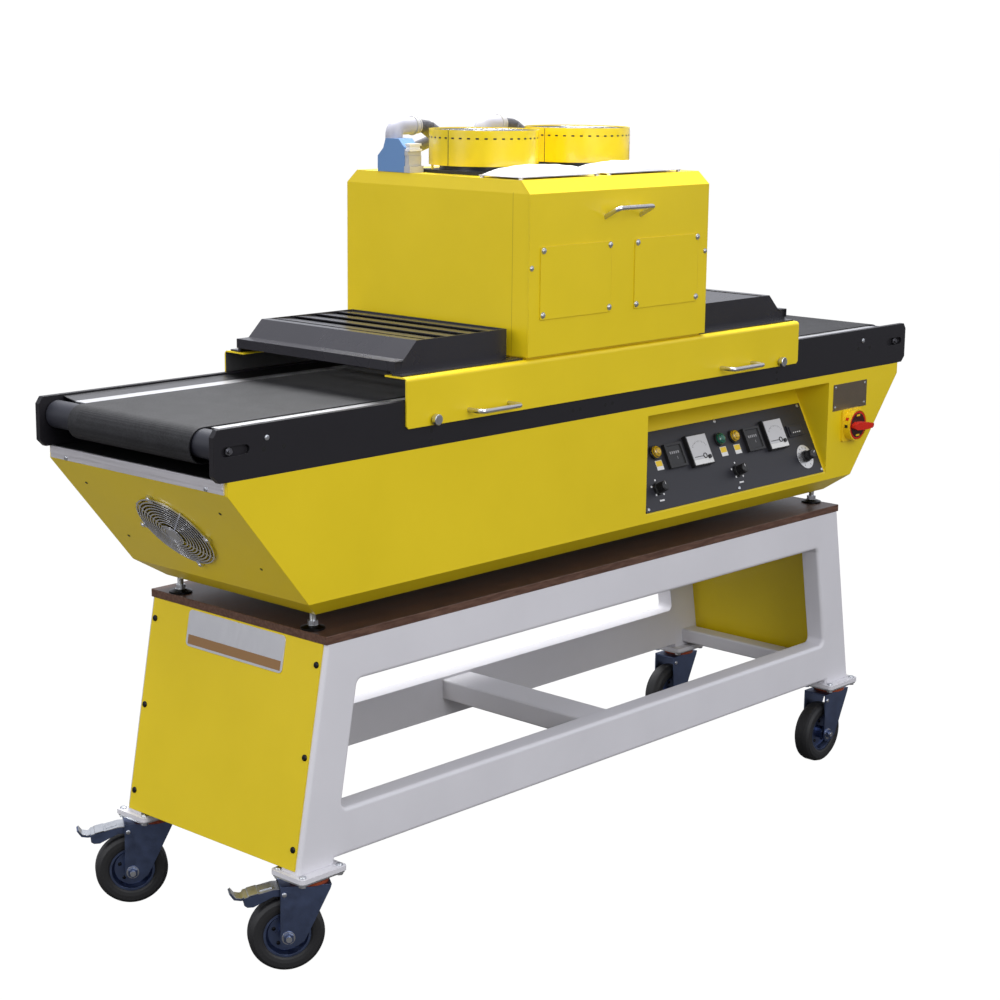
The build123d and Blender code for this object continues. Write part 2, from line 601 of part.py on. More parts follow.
def skirt_pieces():
    face, top = FACE_Y, SKIRT_TOP
    line = [(-face - SKIRT_SHEET, SKIRT_BOTTOM), (-face - SKIRT_SHEET, top),
            (-face - SKIRT_SHEET + SKIRT_LIP, top), (-face - SKIRT_SHEET + SKIRT_LIP, top - SKIRT_SHEET),
            (-face, top - SKIRT_SHEET), (-face, SKIRT_BOTTOM)]
    skirt = prism(line, "yz", -SKIRT_HALF, SKIRT_HALF)
    bend = skirt.edges().filter_by(Axis.X).filter_by_position(Axis.Z, top, top)
    skirt = fillet(bend.sort_by(Axis.Y)[:1], SKIRT_ROUND)
    corners = skirt.edges().filter_by(Axis.Y).filter_by_position(Axis.Z, SKIRT_BOTTOM, SKIRT_BOTTOM)
    skirt = chamfer(corners, 5.0)
    out = -face - SKIRT_SHEET
    handles = [bow_handle((x, out, HANDLE_Z), HANDLE_SPAN, HANDLE_REACH, 0.0, HANDLE_ROD)
               for x in HANDLE_X]
    knobs = []
    for side in (-1, 1):
        plane = Plane(origin=(side * THUMB_KNOB_X, out, THUMB_KNOB_Z), z_dir=(0, -1, 0))
        knob = extrude(plane * Circle(5.0), amount=4.0)
        knob += chamfer(extrude(plane.offset(4.0) * Circle(9.0), amount=9.0).edges(), 1.0)
        knobs.append(knob)
    return {"front_skirt": skirt, "back_skirt": mirrored(skirt),
            "skirt_handles": handles + [mirrored(h) for h in handles],
            "thumb_knobs": knobs + [mirrored(k) for k in knobs]}


def tunnel_cover(house_wall):
    """Right hood: folded sheet with a lip and slope to the outside, and a louvred top."""
    base = SKIRT_TOP + COVER_BASE
    inner_x = house_wall + COVER_TO_HOUSE
    w, t = COVER_HALF_WIDTH, COVER_SHEET
    outer = [(inner_x, base), (COVER_OUT, base), (COVER_OUT, COVER_SHELF_Z - 1),
             (COVER_SHELF, COVER_SHELF_Z), (COVER_CREST, COVER_TOP), (inner_x, COVER_TOP)]
    inner = [(inner_x + t, base - 1), (COVER_OUT - t, base - 1), (COVER_OUT - t, COVER_SHELF_Z - 1 - t),
             (COVER_SHELF - t, COVER_SHELF_Z - t), (COVER_CREST - t / 2, COVER_TOP - t),
             (inner_x + t, COVER_TOP - t)]
    hood = prism(outer, "xz", -w, w) - prism(inner, "xz", -w + t, w - t)
    vent = (COVER_CREST - 16 - BLADES * BLADE_PITCH, COVER_CREST - 16)
    hood -= block(vent, (-w + t, w - t), (COVER_TOP - 5, COVER_TOP + 5))
    mouth = block((COVER_OUT - 5, COVER_OUT + 5), (-w + 5, w - 5), (base - 5, COVER_LIP_Z))
    hood -= mouth
    blade = [(0, -BLADE_DROP - 0.5), (BLADE_WIDTH, -0.5), (BLADE_WIDTH, -0.5 - t),
             (0, -BLADE_DROP - 0.5 - t)]
    for k in range(BLADES):
        x = vent[0] + k * BLADE_PITCH
        hood += prism([(x + a, COVER_TOP + b) for a, b in blade], "xz", -w + t / 2, w - t / 2)
    lip_y = w + COVER_LIP_OVER
    hood += block((COVER_OUT - t, COVER_OUT), (-lip_y, lip_y), (COVER_LIP_Z, COVER_SHELF_Z - 1))
    hood += block((COVER_SHELF + 2, COVER_OUT), (-lip_y, lip_y),
                  (COVER_SHELF_Z - 1 - t, COVER_SHELF_Z - 1))
    flange_y = FACE_Y - SKIRT_ROUND - 3
    for side in (-1, 1):
        y = (side * (w - t), side * flange_y)
        hood += block((house_wall + 1, COVER_OUT), (min(y), max(y)), (SKIRT_TOP, base))
    return hood


def lamp_house():
    """Sheet metal housing with bevelled long edges, and its screwed front cover."""
    wall, bevel = HOUSE_FACE_Y, HOUSE_BEVEL
    cross = [(wall, HOUSE_BOTTOM), (wall, HOUSE_WALL_TOP), (wall - bevel, HOUSE_TOP),
             (-wall + bevel, HOUSE_TOP), (-wall, HOUSE_WALL_TOP), (-wall, HOUSE_BOTTOM)]
    long_line = [(HOUSE_X[0], HOUSE_BOTTOM), (HOUSE_X[0], HOUSE_WALL_TOP),
                 (HOUSE_X[0] + HOUSE_END_LEAN, HOUSE_TOP), (HOUSE_X[1] - HOUSE_END_LEAN, HOUSE_TOP),
                 (HOUSE_X[1], HOUSE_WALL_TOP), (HOUSE_X[1], HOUSE_BOTTOM)]
    whole = prism(cross, "yz", HOUSE_X[0], HOUSE_X[1]) & prism(long_line, "xz", -wall, wall)
    t = COVER_PLATE
    front = prism([(-wall, HOUSE_BOTTOM - 1), (-wall, HOUSE_WALL_TOP), (-wall + bevel, HOUSE_TOP + 0.01),
                   (-wall + bevel + t * 1.414, HOUSE_TOP + 0.01), (-wall + t, HOUSE_WALL_TOP - t * 0.4),
                   (-wall + t, HOUSE_BOTTOM - 1)], "yz", HOUSE_X[0], HOUSE_X[1])
    cover = whole & front
    body = whole - front
    inset = PLINTH_INSET
    body += block((HOUSE_X[0] + inset, HOUSE_X[1] - inset), (-wall + inset + t, wall - inset),
                  (SKIRT_TOP, HOUSE_BOTTOM))
    for x in HATCH_X:
        hatch = block(x, (-wall - HATCH_PROUD, -wall), HATCH_Z)
        cover += fillet(hatch.edges().filter_by(Axis.Y), 3.0)
    handle = bow_handle((HOUSE_HANDLE_X, -wall + 2.5, HOUSE_HANDLE_Z - 1), HANDLE_SPAN,
                        HANDLE_REACH + 2.5, 18.0, HANDLE_ROD) - whole
    return {"lamp_house": body, "house_front_cover": cover, "house_handle": handle}


def roof_fans():
    shrouds, fans, guards = [], [], []
    low, high = SHROUD_Z
    for x in FAN_X:
        at = Pos(x, 0, 0)
        tube = Pos(0, 0, (low + high) / 2) * (Cylinder(SHROUD_DIA / 2, high - low)
                                              - Cylinder(SHROUD_DIA / 2 - SHROUD_SHEET, high - low))
        ring = SHROUD_DIA / 2 - 2.5
        legs = [Rot(0, 0, angle) * block((ring - 2.5, ring + 1.5), (-1.5, 1.5), (foot, low + 6))
                for angle, foot in ((30, HOUSE_TOP + FAN_PLATE_THICK), (150, HOUSE_TOP + FAN_PLATE_THICK),
                                    (270, HOUSE_TOP))]
        shrouds.append(at * joined([tube] + legs))
        half = FAN_PLATE / 2
        plate = rounded_block((-half, half), (-half, half), (HOUSE_TOP, HOUSE_TOP + FAN_PLATE_THICK), 12.0)
        barrel = Pos(0, 0, (HOUSE_TOP + high - 4) / 2) * Cylinder(FAN_BARREL_DIA / 2,
                                                                  high - 4 - HOUSE_TOP)
        throat = Pos(0, 0, high - 24) * Cylinder(FAN_BARREL_DIA / 2 - 4, 48)
        hub = Pos(0, 0, high - 26) * Cylinder(32, 44)
        fans.append(at * joined([plate, barrel - throat, hub]))
        rings = [Pos(0, 0, high - 3) * (Cylinder(r + 1, 2) - Cylinder(r - 1, 2))
                 for r in (30, 45, 60, 75, SHROUD_DIA / 2 - SHROUD_SHEET - 1.3)]
        arm = SHROUD_DIA / 2 - SHROUD_SHEET - 0.3
        spokes = [Rot(0, 0, a) * Pos(0, 0, high - 3) * Box(2 * arm, 2, 2) for a in (45, 135)]
        guards.append(at * joined(rings + spokes))
    return {"fan_shrouds": shrouds, "roof_fans": fans, "fan_guards": guards}


def filters():
    frames, pads = [], []
    low, lip, foot = HOUSE_TOP + FILTER_FOOT[1], FILTER_LIP, FILTER_FOOT[0] / 2
    for x in FILTER_X:
        ends = (x, x + FILTER_SIZE[0])
        sides = (FILTER_FRONT_Y, FILTER_FRONT_Y + FILTER_SIZE[1])
        frame = block(ends, sides, (low, low + FILTER_FRAME))
        frame -= block((ends[0] + lip, ends[1] - lip), (sides[0] + lip, sides[1] - lip),
                       (low - 1, low + FILTER_FRAME + 1))
        for a in (ends[0] + foot, ends[1] - foot):
            for b in (sides[0] + foot, sides[1] - foot):
                frame += rod((a, b, HOUSE_TOP), (a, b, low), FILTER_FOOT[0])
        frames.append(frame)
        pad = block((ends[0] + 3, ends[1] - 3), (sides[0] + 3, sides[1] - 3),
                    (low + FILTER_FRAME, HOUSE_TOP + PAD_HEIGHT))
        pads.append(fillet(pad.edges().filter_by_position(Axis.Z, HOUSE_TOP + PAD_HEIGHT,
                                                          HOUSE_TOP + PAD_HEIGHT), 12.0))
    return {"filter_frames": frames, "left_filter_pad": pads[0], "right_filter_pad": pads[1]}


def plugs():
    """Plug hoods with their elbows, and the hoses that run over the back edge into the cabinet."""
    hoods, elbows, hoses = [], [], []
    wall_y = HOUSE_FACE_Y + HOSE_DIA / 2 + 8
    line = [(PLUG_Y[0], HOUSE_TOP), (PLUG_Y[0], PLUG_TOP - 15), (PLUG_Y[0] + 14, PLUG_TOP),
            (PLUG_Y[1] - 20, PLUG_TOP), (PLUG_Y[1] - 14, PLUG_TOP - 17), (PLUG_Y[1], PLUG_TOP - 31),
            (PLUG_Y[1], HOUSE_TOP)]
    for x in PLUG_X:
        hood = prism(line, "yz", x - PLUG_WIDTH / 2, x + PLUG_WIDTH / 2)
        mouth_x, down_x = x + ELBOW_REACH, x + ELBOW_REACH + 72
        elbow = round_sweep([(x, ELBOW_Y, PLUG_TOP - 22), (x, ELBOW_Y, ELBOW_AXIS_Z),
                             (mouth_x, ELBOW_Y, ELBOW_AXIS_Z)], 16.0, ELBOW_DIA)
        collar = rod((mouth_x, ELBOW_Y, ELBOW_AXIS_Z), (mouth_x + COUPLING[1], ELBOW_Y, ELBOW_AXIS_Z),
                     COUPLING[0])
        mouth_x += COUPLING[1]
        hoods.append(hood)
        elbows.append(elbow + collar - hood)
        hoses.append(round_sweep([(mouth_x, ELBOW_Y, ELBOW_AXIS_Z), (mouth_x + 12, ELBOW_Y, ELBOW_AXIS_Z),
                                  (mouth_x + 58, ELBOW_Y + 6, ELBOW_AXIS_Z - 24),
                                  (down_x, wall_y, HOUSE_TOP + 18), (down_x, wall_y, HOSE_END_Z),
                                  (down_x, FACE_Y, HOSE_END_Z)], HOSE_BEND, HOSE_DIA))
    return {"plug_hoods": hoods, "plug_elbows": elbows, "hoses": hoses}


def grille_rise(r, radius):
    """Height of the guard's dome at a distance from its middle."""
    return GRILLE_RISE * (1 - (r / radius) ** 2)


def end_fan():
    """Domed round wire guard on the left end, and the fan that shows behind it."""
    radius, half = END_FAN_DIA / 2 + 3, GRILLE_WIRE / 2
    plane = slope_plane(END_FAN_UP, END_FAN_Y, 0.4)
    spoke_line = [(r * radius / 6, grille_rise(r * radius / 6, radius)) for r in range(-6, 7)]
    spoke_line = ([(-radius - 3, 0)] + spoke_line + [(radius + 3, 0)]
                  + [(radius + 3, GRILLE_WIRE)] + [(r, z + GRILLE_WIRE) for r, z in reversed(spoke_line)]
                  + [(-radius - 3, GRILLE_WIRE)])
    pieces = [Rot(0, 0, angle) * prism(spoke_line, "xz", -half, half) for angle in (45, 135)]
    for k in range(GRILLE_RINGS):
        r = radius - k * (radius - 22) / GRILLE_RINGS
        low = grille_rise(r, radius) + half
        pieces.append(Pos(0, 0, low + half) * (Cylinder(r + half, GRILLE_WIRE)
                                               - Cylinder(r - half, GRILLE_WIRE)))
    pieces.append(Pos(0, 0, grille_rise(0, radius) + half) * Cylinder(21, GRILLE_WIRE + 1))
    grille = plane.location * joined(pieces)
    back = plane.offset(-END_FAN_DEPTH - 0.4)
    fan = extrude(back * Circle(30), amount=24.0)
    for k in range(5):
        blade = back.offset(15) * Rot(0, 0, 72 * k) * Pos(46, 0, 0) * Rot(30, 0, 0) * Box(40, 34, 2)
        fan += blade
    return {"end_fan_guard": grille, "end_fan": fan}


def end_trims():
    """Two-step aluminium strip under the belt at each end of the cabinet."""
    x, top = CABINET_HALF, PLATE_BOTTOM
    strip = block((x, x + 3), (-215, 215), (top - TRIM_HEIGHT, top))
    step = block((x + 3, x + 5), (-213, 213), (top - 12, top))
    right = strip + step
    return [mirrored(right, Plane.YZ), right]


def build():
    pieces = {}
    pieces.update(stand_pieces())
    pieces.update(castor_pieces())
    pieces["levelling_feet"] = levelling_feet()
    pieces["cabinet"] = cabinet()
    pieces["end_trims"] = end_trims()
    pieces.update(end_fan())
    pieces.update(control_pieces())
    pieces.update(main_switch())
    pieces.update(conveyor_pieces())
    pieces.update(skirt_pieces())
    pieces["right_tunnel_cover"] = tunnel_cover(HOUSE_X[1])
    pieces["left_tunnel_cover"] = mirrored(tunnel_cover(-HOUSE_X[0]), Plane.YZ)
    pieces.update(lamp_house())
    pieces.update(roof_fans())
    pieces.update(filters())
    pieces.update(plugs())
    return pieces


def solids_of(piece):
    """The solids of a node, which is one shape or a list of like ones."""
    shapes = piece if isinstance(piece, list) else [piece]
    return [solid for shape in shapes for solid in shape.solids()]


os.makedirs("parts", exist_ok=True)
for name, piece in build().items():
    solids = solids_of(piece)
    shape = solids[0] if len(solids) == 1 else Compound(children=solids)
    shape.label = name
    export_step(shape, f"parts/{name}.step")
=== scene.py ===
import math

import bmesh
import bpy
from mathutils import Matrix, Vector


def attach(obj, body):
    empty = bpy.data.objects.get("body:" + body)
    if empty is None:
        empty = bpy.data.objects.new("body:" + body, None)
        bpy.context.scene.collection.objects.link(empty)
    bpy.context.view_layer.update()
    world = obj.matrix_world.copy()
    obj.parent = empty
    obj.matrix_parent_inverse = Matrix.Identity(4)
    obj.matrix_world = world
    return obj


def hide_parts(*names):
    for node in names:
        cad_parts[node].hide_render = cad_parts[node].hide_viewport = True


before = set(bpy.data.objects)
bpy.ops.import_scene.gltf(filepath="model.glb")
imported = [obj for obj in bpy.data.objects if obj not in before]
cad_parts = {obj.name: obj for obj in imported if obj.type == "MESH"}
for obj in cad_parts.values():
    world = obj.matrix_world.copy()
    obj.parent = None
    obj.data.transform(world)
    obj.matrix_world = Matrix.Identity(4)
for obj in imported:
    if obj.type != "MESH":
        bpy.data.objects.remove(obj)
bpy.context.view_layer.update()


# Stand: two welded frames of white powder-coated steel tube with crossbars between them, standing on plates that
# are bolted to the castors. The welds are ground flush and the coat has a fine grain.
MM = 0.001


def feed(tree, socket, value):
    """Links an output to a socket, or sets the socket's own value."""
    if isinstance(value, bpy.types.NodeSocket):
        tree.links.new(value, socket)
    elif value is not None:
        socket.default_value = value


def add(tree, kind, *values, **settings):
    """Shader node: values fill its first sockets, lower-case settings are properties, others are sockets."""
    node = tree.nodes.new("ShaderNode" + kind)
    for key, value in settings.items():
        if key[0].islower():
            setattr(node, key, value)
        else:
            feed(tree, node.inputs[key.replace("_", " ")], value)
    for socket, value in zip(node.inputs, values):
        feed(tree, socket, value)
    return node


def maths(tree, operation, a, b=None, clamp=False):
    return add(tree, "Math", a, b, operation=operation, use_clamp=clamp).outputs[0]


def mixed(tree, factor, a, b, blend="MIX"):
    return add(tree, "MixRGB", factor, a, b, blend_type=blend).outputs[0]


def ramp(tree, value, low, high):
    """0 below low, 1 above high."""
    return add(tree, "MapRange", value, low, high, 0.0, 1.0).outputs[0]


def noise(tree, vector, scale, detail=2.0, roughness=0.5):
    return add(tree, "TexNoise", Vector=vector, Scale=scale, Detail=detail, Roughness=roughness).outputs[0]


def effect(name, inputs, outputs):
    """Node group shared by materials: returns its tree, its input node and its output node."""
    tree = bpy.data.node_groups.new(name, "ShaderNodeTree")
    for kind, label, value in inputs:
        tree.interface.new_socket(label, in_out="INPUT", socket_type="NodeSocket" + kind).default_value = value
    for kind, label in outputs:
        tree.interface.new_socket(label, in_out="OUTPUT", socket_type="NodeSocket" + kind)
    return tree, tree.nodes.new("NodeGroupInput"), tree.nodes.new("NodeGroupOutput")


def painted_skin():
    """Powder coat: fine orange-peel grain, slightly rounded edges, faint cloudiness and dust that settles on top."""
    tree, source, result = effect(
        "painted_skin",
        [("Color", "Color", (0.5, 0.5, 0.5, 1)), ("Float", "Gloss", 0.35), ("Float", "Grain", 0.25),
         ("Float", "Grain Scale", 900.0), ("Float", "Edge", 0.0012), ("Float", "Dust", 0.1)],
        [("Color", "Color"), ("Float", "Roughness"), ("Vector", "Normal")])
    place = add(tree, "TexCoord").outputs["Object"]
    cloud = noise(tree, place, 4.0, 4.0, 0.6)
    grain = noise(tree, place, source.outputs["Grain Scale"], 2.0)
    level = add(tree, "MapRange", cloud, 0.3, 0.7, 0.96, 1.03).outputs[0]
    toned = add(tree, "HueSaturation", Value=level, Color=source.outputs["Color"]).outputs[0]
    up = add(tree, "SeparateXYZ", add(tree, "NewGeometry").outputs["Normal"]).outputs[2]
    lint = ramp(tree, noise(tree, place, 75.0, 6.0, 0.75), 0.56, 0.72)
    settled = maths(tree, "MULTIPLY", maths(tree, "MULTIPLY", ramp(tree, up, 0.5, 0.95), lint),
                    source.outputs["Dust"])
    feed(tree, result.inputs["Color"], mixed(tree, settled, toned, (0.52, 0.5, 0.46, 1)))
    rough = maths(tree, "ADD", source.outputs["Gloss"],
                  maths(tree, "MULTIPLY", maths(tree, "SUBTRACT", cloud, 0.5), 0.18))
    feed(tree, result.inputs["Roughness"], maths(tree, "ADD", rough, maths(tree, "MULTIPLY", settled, 0.3)))
    rounded = add(tree, "Bevel", source.outputs["Edge"], samples=3).outputs[0]
    bump = add(tree, "Bump", Strength=source.outputs["Grain"], Distance=0.0003, Height=grain, Normal=rounded)
    feed(tree, result.inputs["Normal"], bump.outputs[0])
    return tree


PAINTED_SKIN = painted_skin()


def material(name, group, settings, **principled):
    """Principled material fed by one of the shared effects."""
    mat = bpy.data.materials.new(name)
    mat.use_nodes = True
    tree = mat.node_tree
    shader = tree.nodes["Principled BSDF"]
    for key, value in principled.items():
        shader.inputs[key.replace("_", " ")].default_value = value
    skin = tree.nodes.new("ShaderNodeGroup")
    skin.node_tree = group
    for key, value in settings.items():
        skin.inputs[key.replace("_", " ")].default_value = value
    for output, socket in (("Color", "Base Color"), ("Roughness", "Roughness"), ("Normal", "Normal")):
        if output in skin.outputs:
            tree.links.new(skin.outputs[output], shader.inputs[socket])
    return mat


def painted(name, color, gloss=0.38, grain=0.25, dust=0.1, grain_scale=900.0, edge=0.0012, **principled):
    return material(name, PAINTED_SKIN, {"Color": (*color, 1), "Gloss": gloss, "Grain": grain, "Dust": dust,
                                         "Grain_Scale": grain_scale, "Edge": edge}, **principled)


def place_axes(tree):
    """The point's own x, y and z in metres."""
    return add(tree, "SeparateXYZ", add(tree, "TexCoord").outputs["Object"]).outputs


def patched(mat, mask, color):
    """Gives a material a second colour where mask, built from the point's place, is 1."""
    tree = mat.node_tree
    socket = tree.nodes["Principled BSDF"].inputs["Base Color"]
    feed(tree, socket, mixed(tree, mask(tree, place_axes(tree)), socket.links[0].from_socket, (*color, 1)))
    return mat


def dress(mat, *names):
    """Gives CAD nodes their material."""
    for name in names:
        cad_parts[name].data.materials.clear()
        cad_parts[name].data.materials.append(mat)


white_paint = painted("white_paint", (0.70, 0.69, 0.72), gloss=0.42, grain=0.12, dust=0.05)
dress(white_paint, "front_frame", "back_frame", "stand_crossbars", "foot_plates")


def brushed_metal():
    """Bare or plated metal: drawn lines along one axis, soft cloudiness and worn roughness."""
    tree, source, result = effect(
        "brushed_metal",
        [("Color", "Color", (0.7, 0.7, 0.7, 1)), ("Float", "Gloss", 0.3), ("Vector", "Grain", (1, 1, 1)),
         ("Float", "Lines", 0.15), ("Float", "Stain", 0.15)],
        [("Color", "Color"), ("Float", "Roughness"), ("Vector", "Normal")])
    place = add(tree, "TexCoord").outputs["Object"]
    drawn = add(tree, "VectorMath", place, source.outputs["Grain"], operation="MULTIPLY").outputs[0]
    lines = noise(tree, drawn, 60.0, 3.0, 0.6)
    cloud = noise(tree, place, 35.0, 4.0, 0.65)
    stain = maths(tree, "MULTIPLY", ramp(tree, cloud, 0.45, 0.75), source.outputs["Stain"])
    dark = mixed(tree, 0.55, source.outputs["Color"], (0.05, 0.045, 0.04, 1))
    feed(tree, result.inputs["Color"], mixed(tree, stain, source.outputs["Color"], dark))
    spread = maths(tree, "MULTIPLY", maths(tree, "SUBTRACT", lines, 0.5), 0.35)
    feed(tree, result.inputs["Roughness"], maths(tree, "ADD", source.outputs["Gloss"], spread))
    rounded = add(tree, "Bevel", 0.0006, samples=3).outputs[0]
    bump = add(tree, "Bump", Strength=source.outputs["Lines"], Distance=0.0003, Height=lines, Normal=rounded)
    feed(tree, result.inputs["Normal"], bump.outputs[0])
    return tree


BRUSHED_METAL = brushed_metal()


def metal(name, color, gloss=0.3, grain=(1, 1, 1), lines=0.15, stain=0.15):
    return material(name, BRUSHED_METAL, {"Color": (*color, 1), "Gloss": gloss, "Grain": grain, "Lines": lines,
                                          "Stain": stain}, Metallic=1.0)


bright_zinc = metal("bright_zinc", (0.62, 0.64, 0.67), gloss=0.32)


def seat_on(origin, out, up=(0, 0, 1)):
    """Matrix with Z out of a surface: origin in millimetres, up is the way its Y leans."""
    z = Vector(out).normalized()
    x = Vector(up).cross(z)
    x = Vector((1, 0, 0)) if x.length < 1e-6 else x.normalized()
    turn = Matrix((x, z.cross(x), z)).transposed().to_4x4()
    return Matrix.Translation(Vector(origin) * MM) @ turn


def piece(name, bm, mat, body="dryer", sharp=35.0):
    """Closes a bmesh into an object that rides on a CAD body."""
    bmesh.ops.recalc_face_normals(bm, faces=bm.faces)
    mesh = bpy.data.meshes.new(name)
    bm.to_mesh(mesh)
    bm.free()
    for polygon in mesh.polygons:
        polygon.use_smooth = True
    mesh.set_sharp_from_angle(angle=math.radians(sharp))
    for each in (mat if isinstance(mat, (list, tuple)) else [mat]):
        mesh.materials.append(each)
    obj = bpy.data.objects.new(name, mesh)
    bpy.context.scene.collection.objects.link(obj)
    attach(obj, body)
    return obj


def disc(bm, seat, radius, height, sides=24, lift=0.0, top=None):
    """Round or many-sided stud standing on a seat; returns its outer cap."""
    made = bmesh.ops.create_cone(bm, cap_ends=True, segments=sides, radius1=radius * MM,
                                 radius2=(radius if top is None else top) * MM, depth=height * MM,
                                 matrix=seat @ Matrix.Translation((0, 0, (lift + height / 2) * MM)))
    faces = {face for vert in made["verts"] for face in vert.link_faces if len(face.verts) == sides}
    axis = seat.to_3x3() @ Vector((0, 0, 1))
    return max(faces, key=lambda face: face.calc_center_median().dot(axis))


def button_head(bm, seat, radius, height, recess=0.45):
    """Domed screw head with a round drive recess."""
    cap = disc(bm, seat, radius, height, 16)
    bmesh.ops.bevel(bm, geom=list(cap.edges), offset=height * 0.75 * MM, segments=3, profile=0.5,
                    affect="EDGES", material=-1)
    axis = seat.to_3x3() @ Vector((0, 0, 1))
    top = max((f for f in bm.faces if f.is_valid and len(f.verts) == 16),
              key=lambda face: (face.calc_center_median() - seat.translation).dot(axis)
              - 50 * (face.calc_center_median() - seat.translation).length)
    bmesh.ops.inset_individual(bm, faces=[top], thickness=radius * 0.25 * MM)
    bmesh.ops.translate(bm, verts=top.verts, vec=-axis * height * recess * MM)


def hex_head(bm, seat, radius, height):
    cap = disc(bm, seat, radius, height, 6)
    bmesh.ops.bevel(bm, geom=list(cap.edges), offset=0.6 * MM, segments=1, profile=0.5, affect="EDGES",
                    material=-1)


def brick(bm, seat, x, y, z):
    """Box on a seat from its limits in millimetres."""
    size = Vector((x[1] - x[0], y[1] - y[0], z[1] - z[0])) * MM
    middle = Vector((x[0] + x[1], y[0] + y[1], z[0] + z[1])) * MM / 2
    made = bmesh.ops.create_cube(bm, size=1.0)
    shape = seat @ Matrix.Translation(middle) @ Matrix.Diagonal((*size, 1))
    bmesh.ops.transform(bm, matrix=shape, verts=made["verts"])
    return made["verts"]


FOOT_PLATE_AT = (744.0, 201.0)
bm = bmesh.new()
for sx in (-1, 1):
    for sy in (-1, 1):
        for dx in (-40, 40):
            for dy in (-29, 29):
                at = (sx * FOOT_PLATE_AT[0] + dx, sy * FOOT_PLATE_AT[1] + dy, 170.0)
                if abs(at[1]) > 221 or sx * dx > 0:
                    button_head(bm, seat_on(at, (0, 0, 1)), 6.0, 3.4)
                hex_head(bm, seat_on((at[0], at[1], 159.0), (0, 0, -1)), 6.5, 5.0)
piece("foot_plate_bolts", bm, bright_zinc)


# End panels: yellow powder-coated sheet closing both ends of the stand, held by six black dome screws a side. The
# left one carries a rounded metal sign, left blank.
YELLOW = (0.80, 0.60, 0.008)
yellow_paint = painted("yellow_paint", YELLOW, gloss=0.36, grain=0.12, dust=0.03)
dress(yellow_paint, "left_end_panel", "right_end_panel")
black_metal = metal("black_metal", (0.03, 0.03, 0.032), gloss=0.35, lines=0.05, stain=0.0)
PANEL_TOP = (720.5, 539.0)
PANEL_SLOPE = 0.18


def panel_seat(side, y, z):
    """On the outer face of an end panel."""
    x = PANEL_TOP[0] + PANEL_SLOPE * (PANEL_TOP[1] - z) - 0.2
    return seat_on((side * x, y, z), (side, 0, PANEL_SLOPE))


bm = bmesh.new()
for side in (-1, 1):
    for y in (-203, 203):
        for z in (505, 357, 209):
            button_head(bm, panel_seat(side, y, z), 5.5, 2.6)
piece("end_panel_screws", bm, black_metal)

sign_plate = metal("sign_plate", (0.78, 0.78, 0.8), gloss=0.4, grain=(1, 12, 1), lines=0.06, stain=0.0)
sign_strip = painted("sign_strip", (0.30, 0.16, 0.06), grain=0.0, dust=0.0)
seat = panel_seat(-1, -5.5, 506)
bm = bmesh.new()
brick(bm, seat, (-121, 121), (-31, 31), (0, 1.4))
corners = [e for e in bm.edges if abs((e.verts[0].co - e.verts[1].co).dot(seat.to_3x3() @ Vector((0, 0, 1)))) > 1e-4]
bmesh.ops.bevel(bm, geom=corners, offset=8 * MM, segments=5, profile=0.5, affect="EDGES", material=-1)
piece("blank_sign", bm, sign_plate)
bm = bmesh.new()
brick(bm, seat, (-116, 116), (-27, -11), (1.4, 1.5))
piece("blank_sign_strip", bm, sign_strip)


# Tabletop: film-faced plywood board, dark brown and a little shiny on top, with pale and dark plies at its cut edge.
def board_look():
    mat = bpy.data.materials.new("tabletop_board")
    mat.use_nodes = True
    tree = mat.node_tree
    shader = tree.nodes["Principled BSDF"]
    place = add(tree, "TexCoord").outputs["Object"]
    grain = add(tree, "VectorMath", place, (2.0, 14.0, 14.0), operation="MULTIPLY").outputs[0]
    figure = noise(tree, grain, 14.0, 6.0, 0.65)
    film = mixed(tree, ramp(tree, figure, 0.35, 0.7), (0.035, 0.016, 0.010, 1), (0.10, 0.05, 0.032, 1))
    height = add(tree, "SeparateXYZ", place).outputs[2]
    ply = maths(tree, "PINGPONG", maths(tree, "MULTIPLY", height, 1000.0), 1.0)
    edge = mixed(tree, ply, (0.10, 0.045, 0.028, 1), (0.05, 0.022, 0.014, 1))
    edge = mixed(tree, ramp(tree, figure, 0.4, 0.8), edge, (0.19, 0.10, 0.065, 1))
    flat = add(tree, "SeparateXYZ", add(tree, "NewGeometry").outputs["Normal"]).outputs[2]
    feed(tree, shader.inputs["Base Color"], mixed(tree, ramp(tree, flat, 0.6, 0.9), edge, film))
    feed(tree, shader.inputs["Roughness"], maths(tree, "ADD", 0.25, maths(tree, "MULTIPLY", figure, 0.25)))
    bump = add(tree, "Bump", Strength=0.15, Distance=0.0004, Height=figure)
    feed(tree, shader.inputs["Normal"], bump.outputs[0])
    return mat


dress(board_look(), "tabletop")


# Castors: zinc-plated pressed steel forks with a bluish cast, black rubber tyres on pressed wheels, an orange dust
# ring in the swivel race, and on the two left ones brake pedals with a bright folded tread.
blue_zinc = metal("blue_zinc", (0.13, 0.17, 0.30), gloss=0.36, lines=0.1, stain=0.35)
rubber = painted("tyre_rubber", (0.012, 0.012, 0.013), gloss=0.55, grain=0.3, dust=0.12, grain_scale=500.0)
orange_seal = painted("orange_seal", (0.30, 0.05, 0.012), grain=0.05, dust=0.0)
for where in ("front_left", "back_left", "front_right", "back_right"):
    dress(blue_zinc, where + "_fork", where + "_wheel")
    dress(rubber, where + "_tyre")
dress(bright_zinc, "castor_top_plates")
dress(blue_zinc, "front_left_brake_pedal", "back_left_brake_pedal")


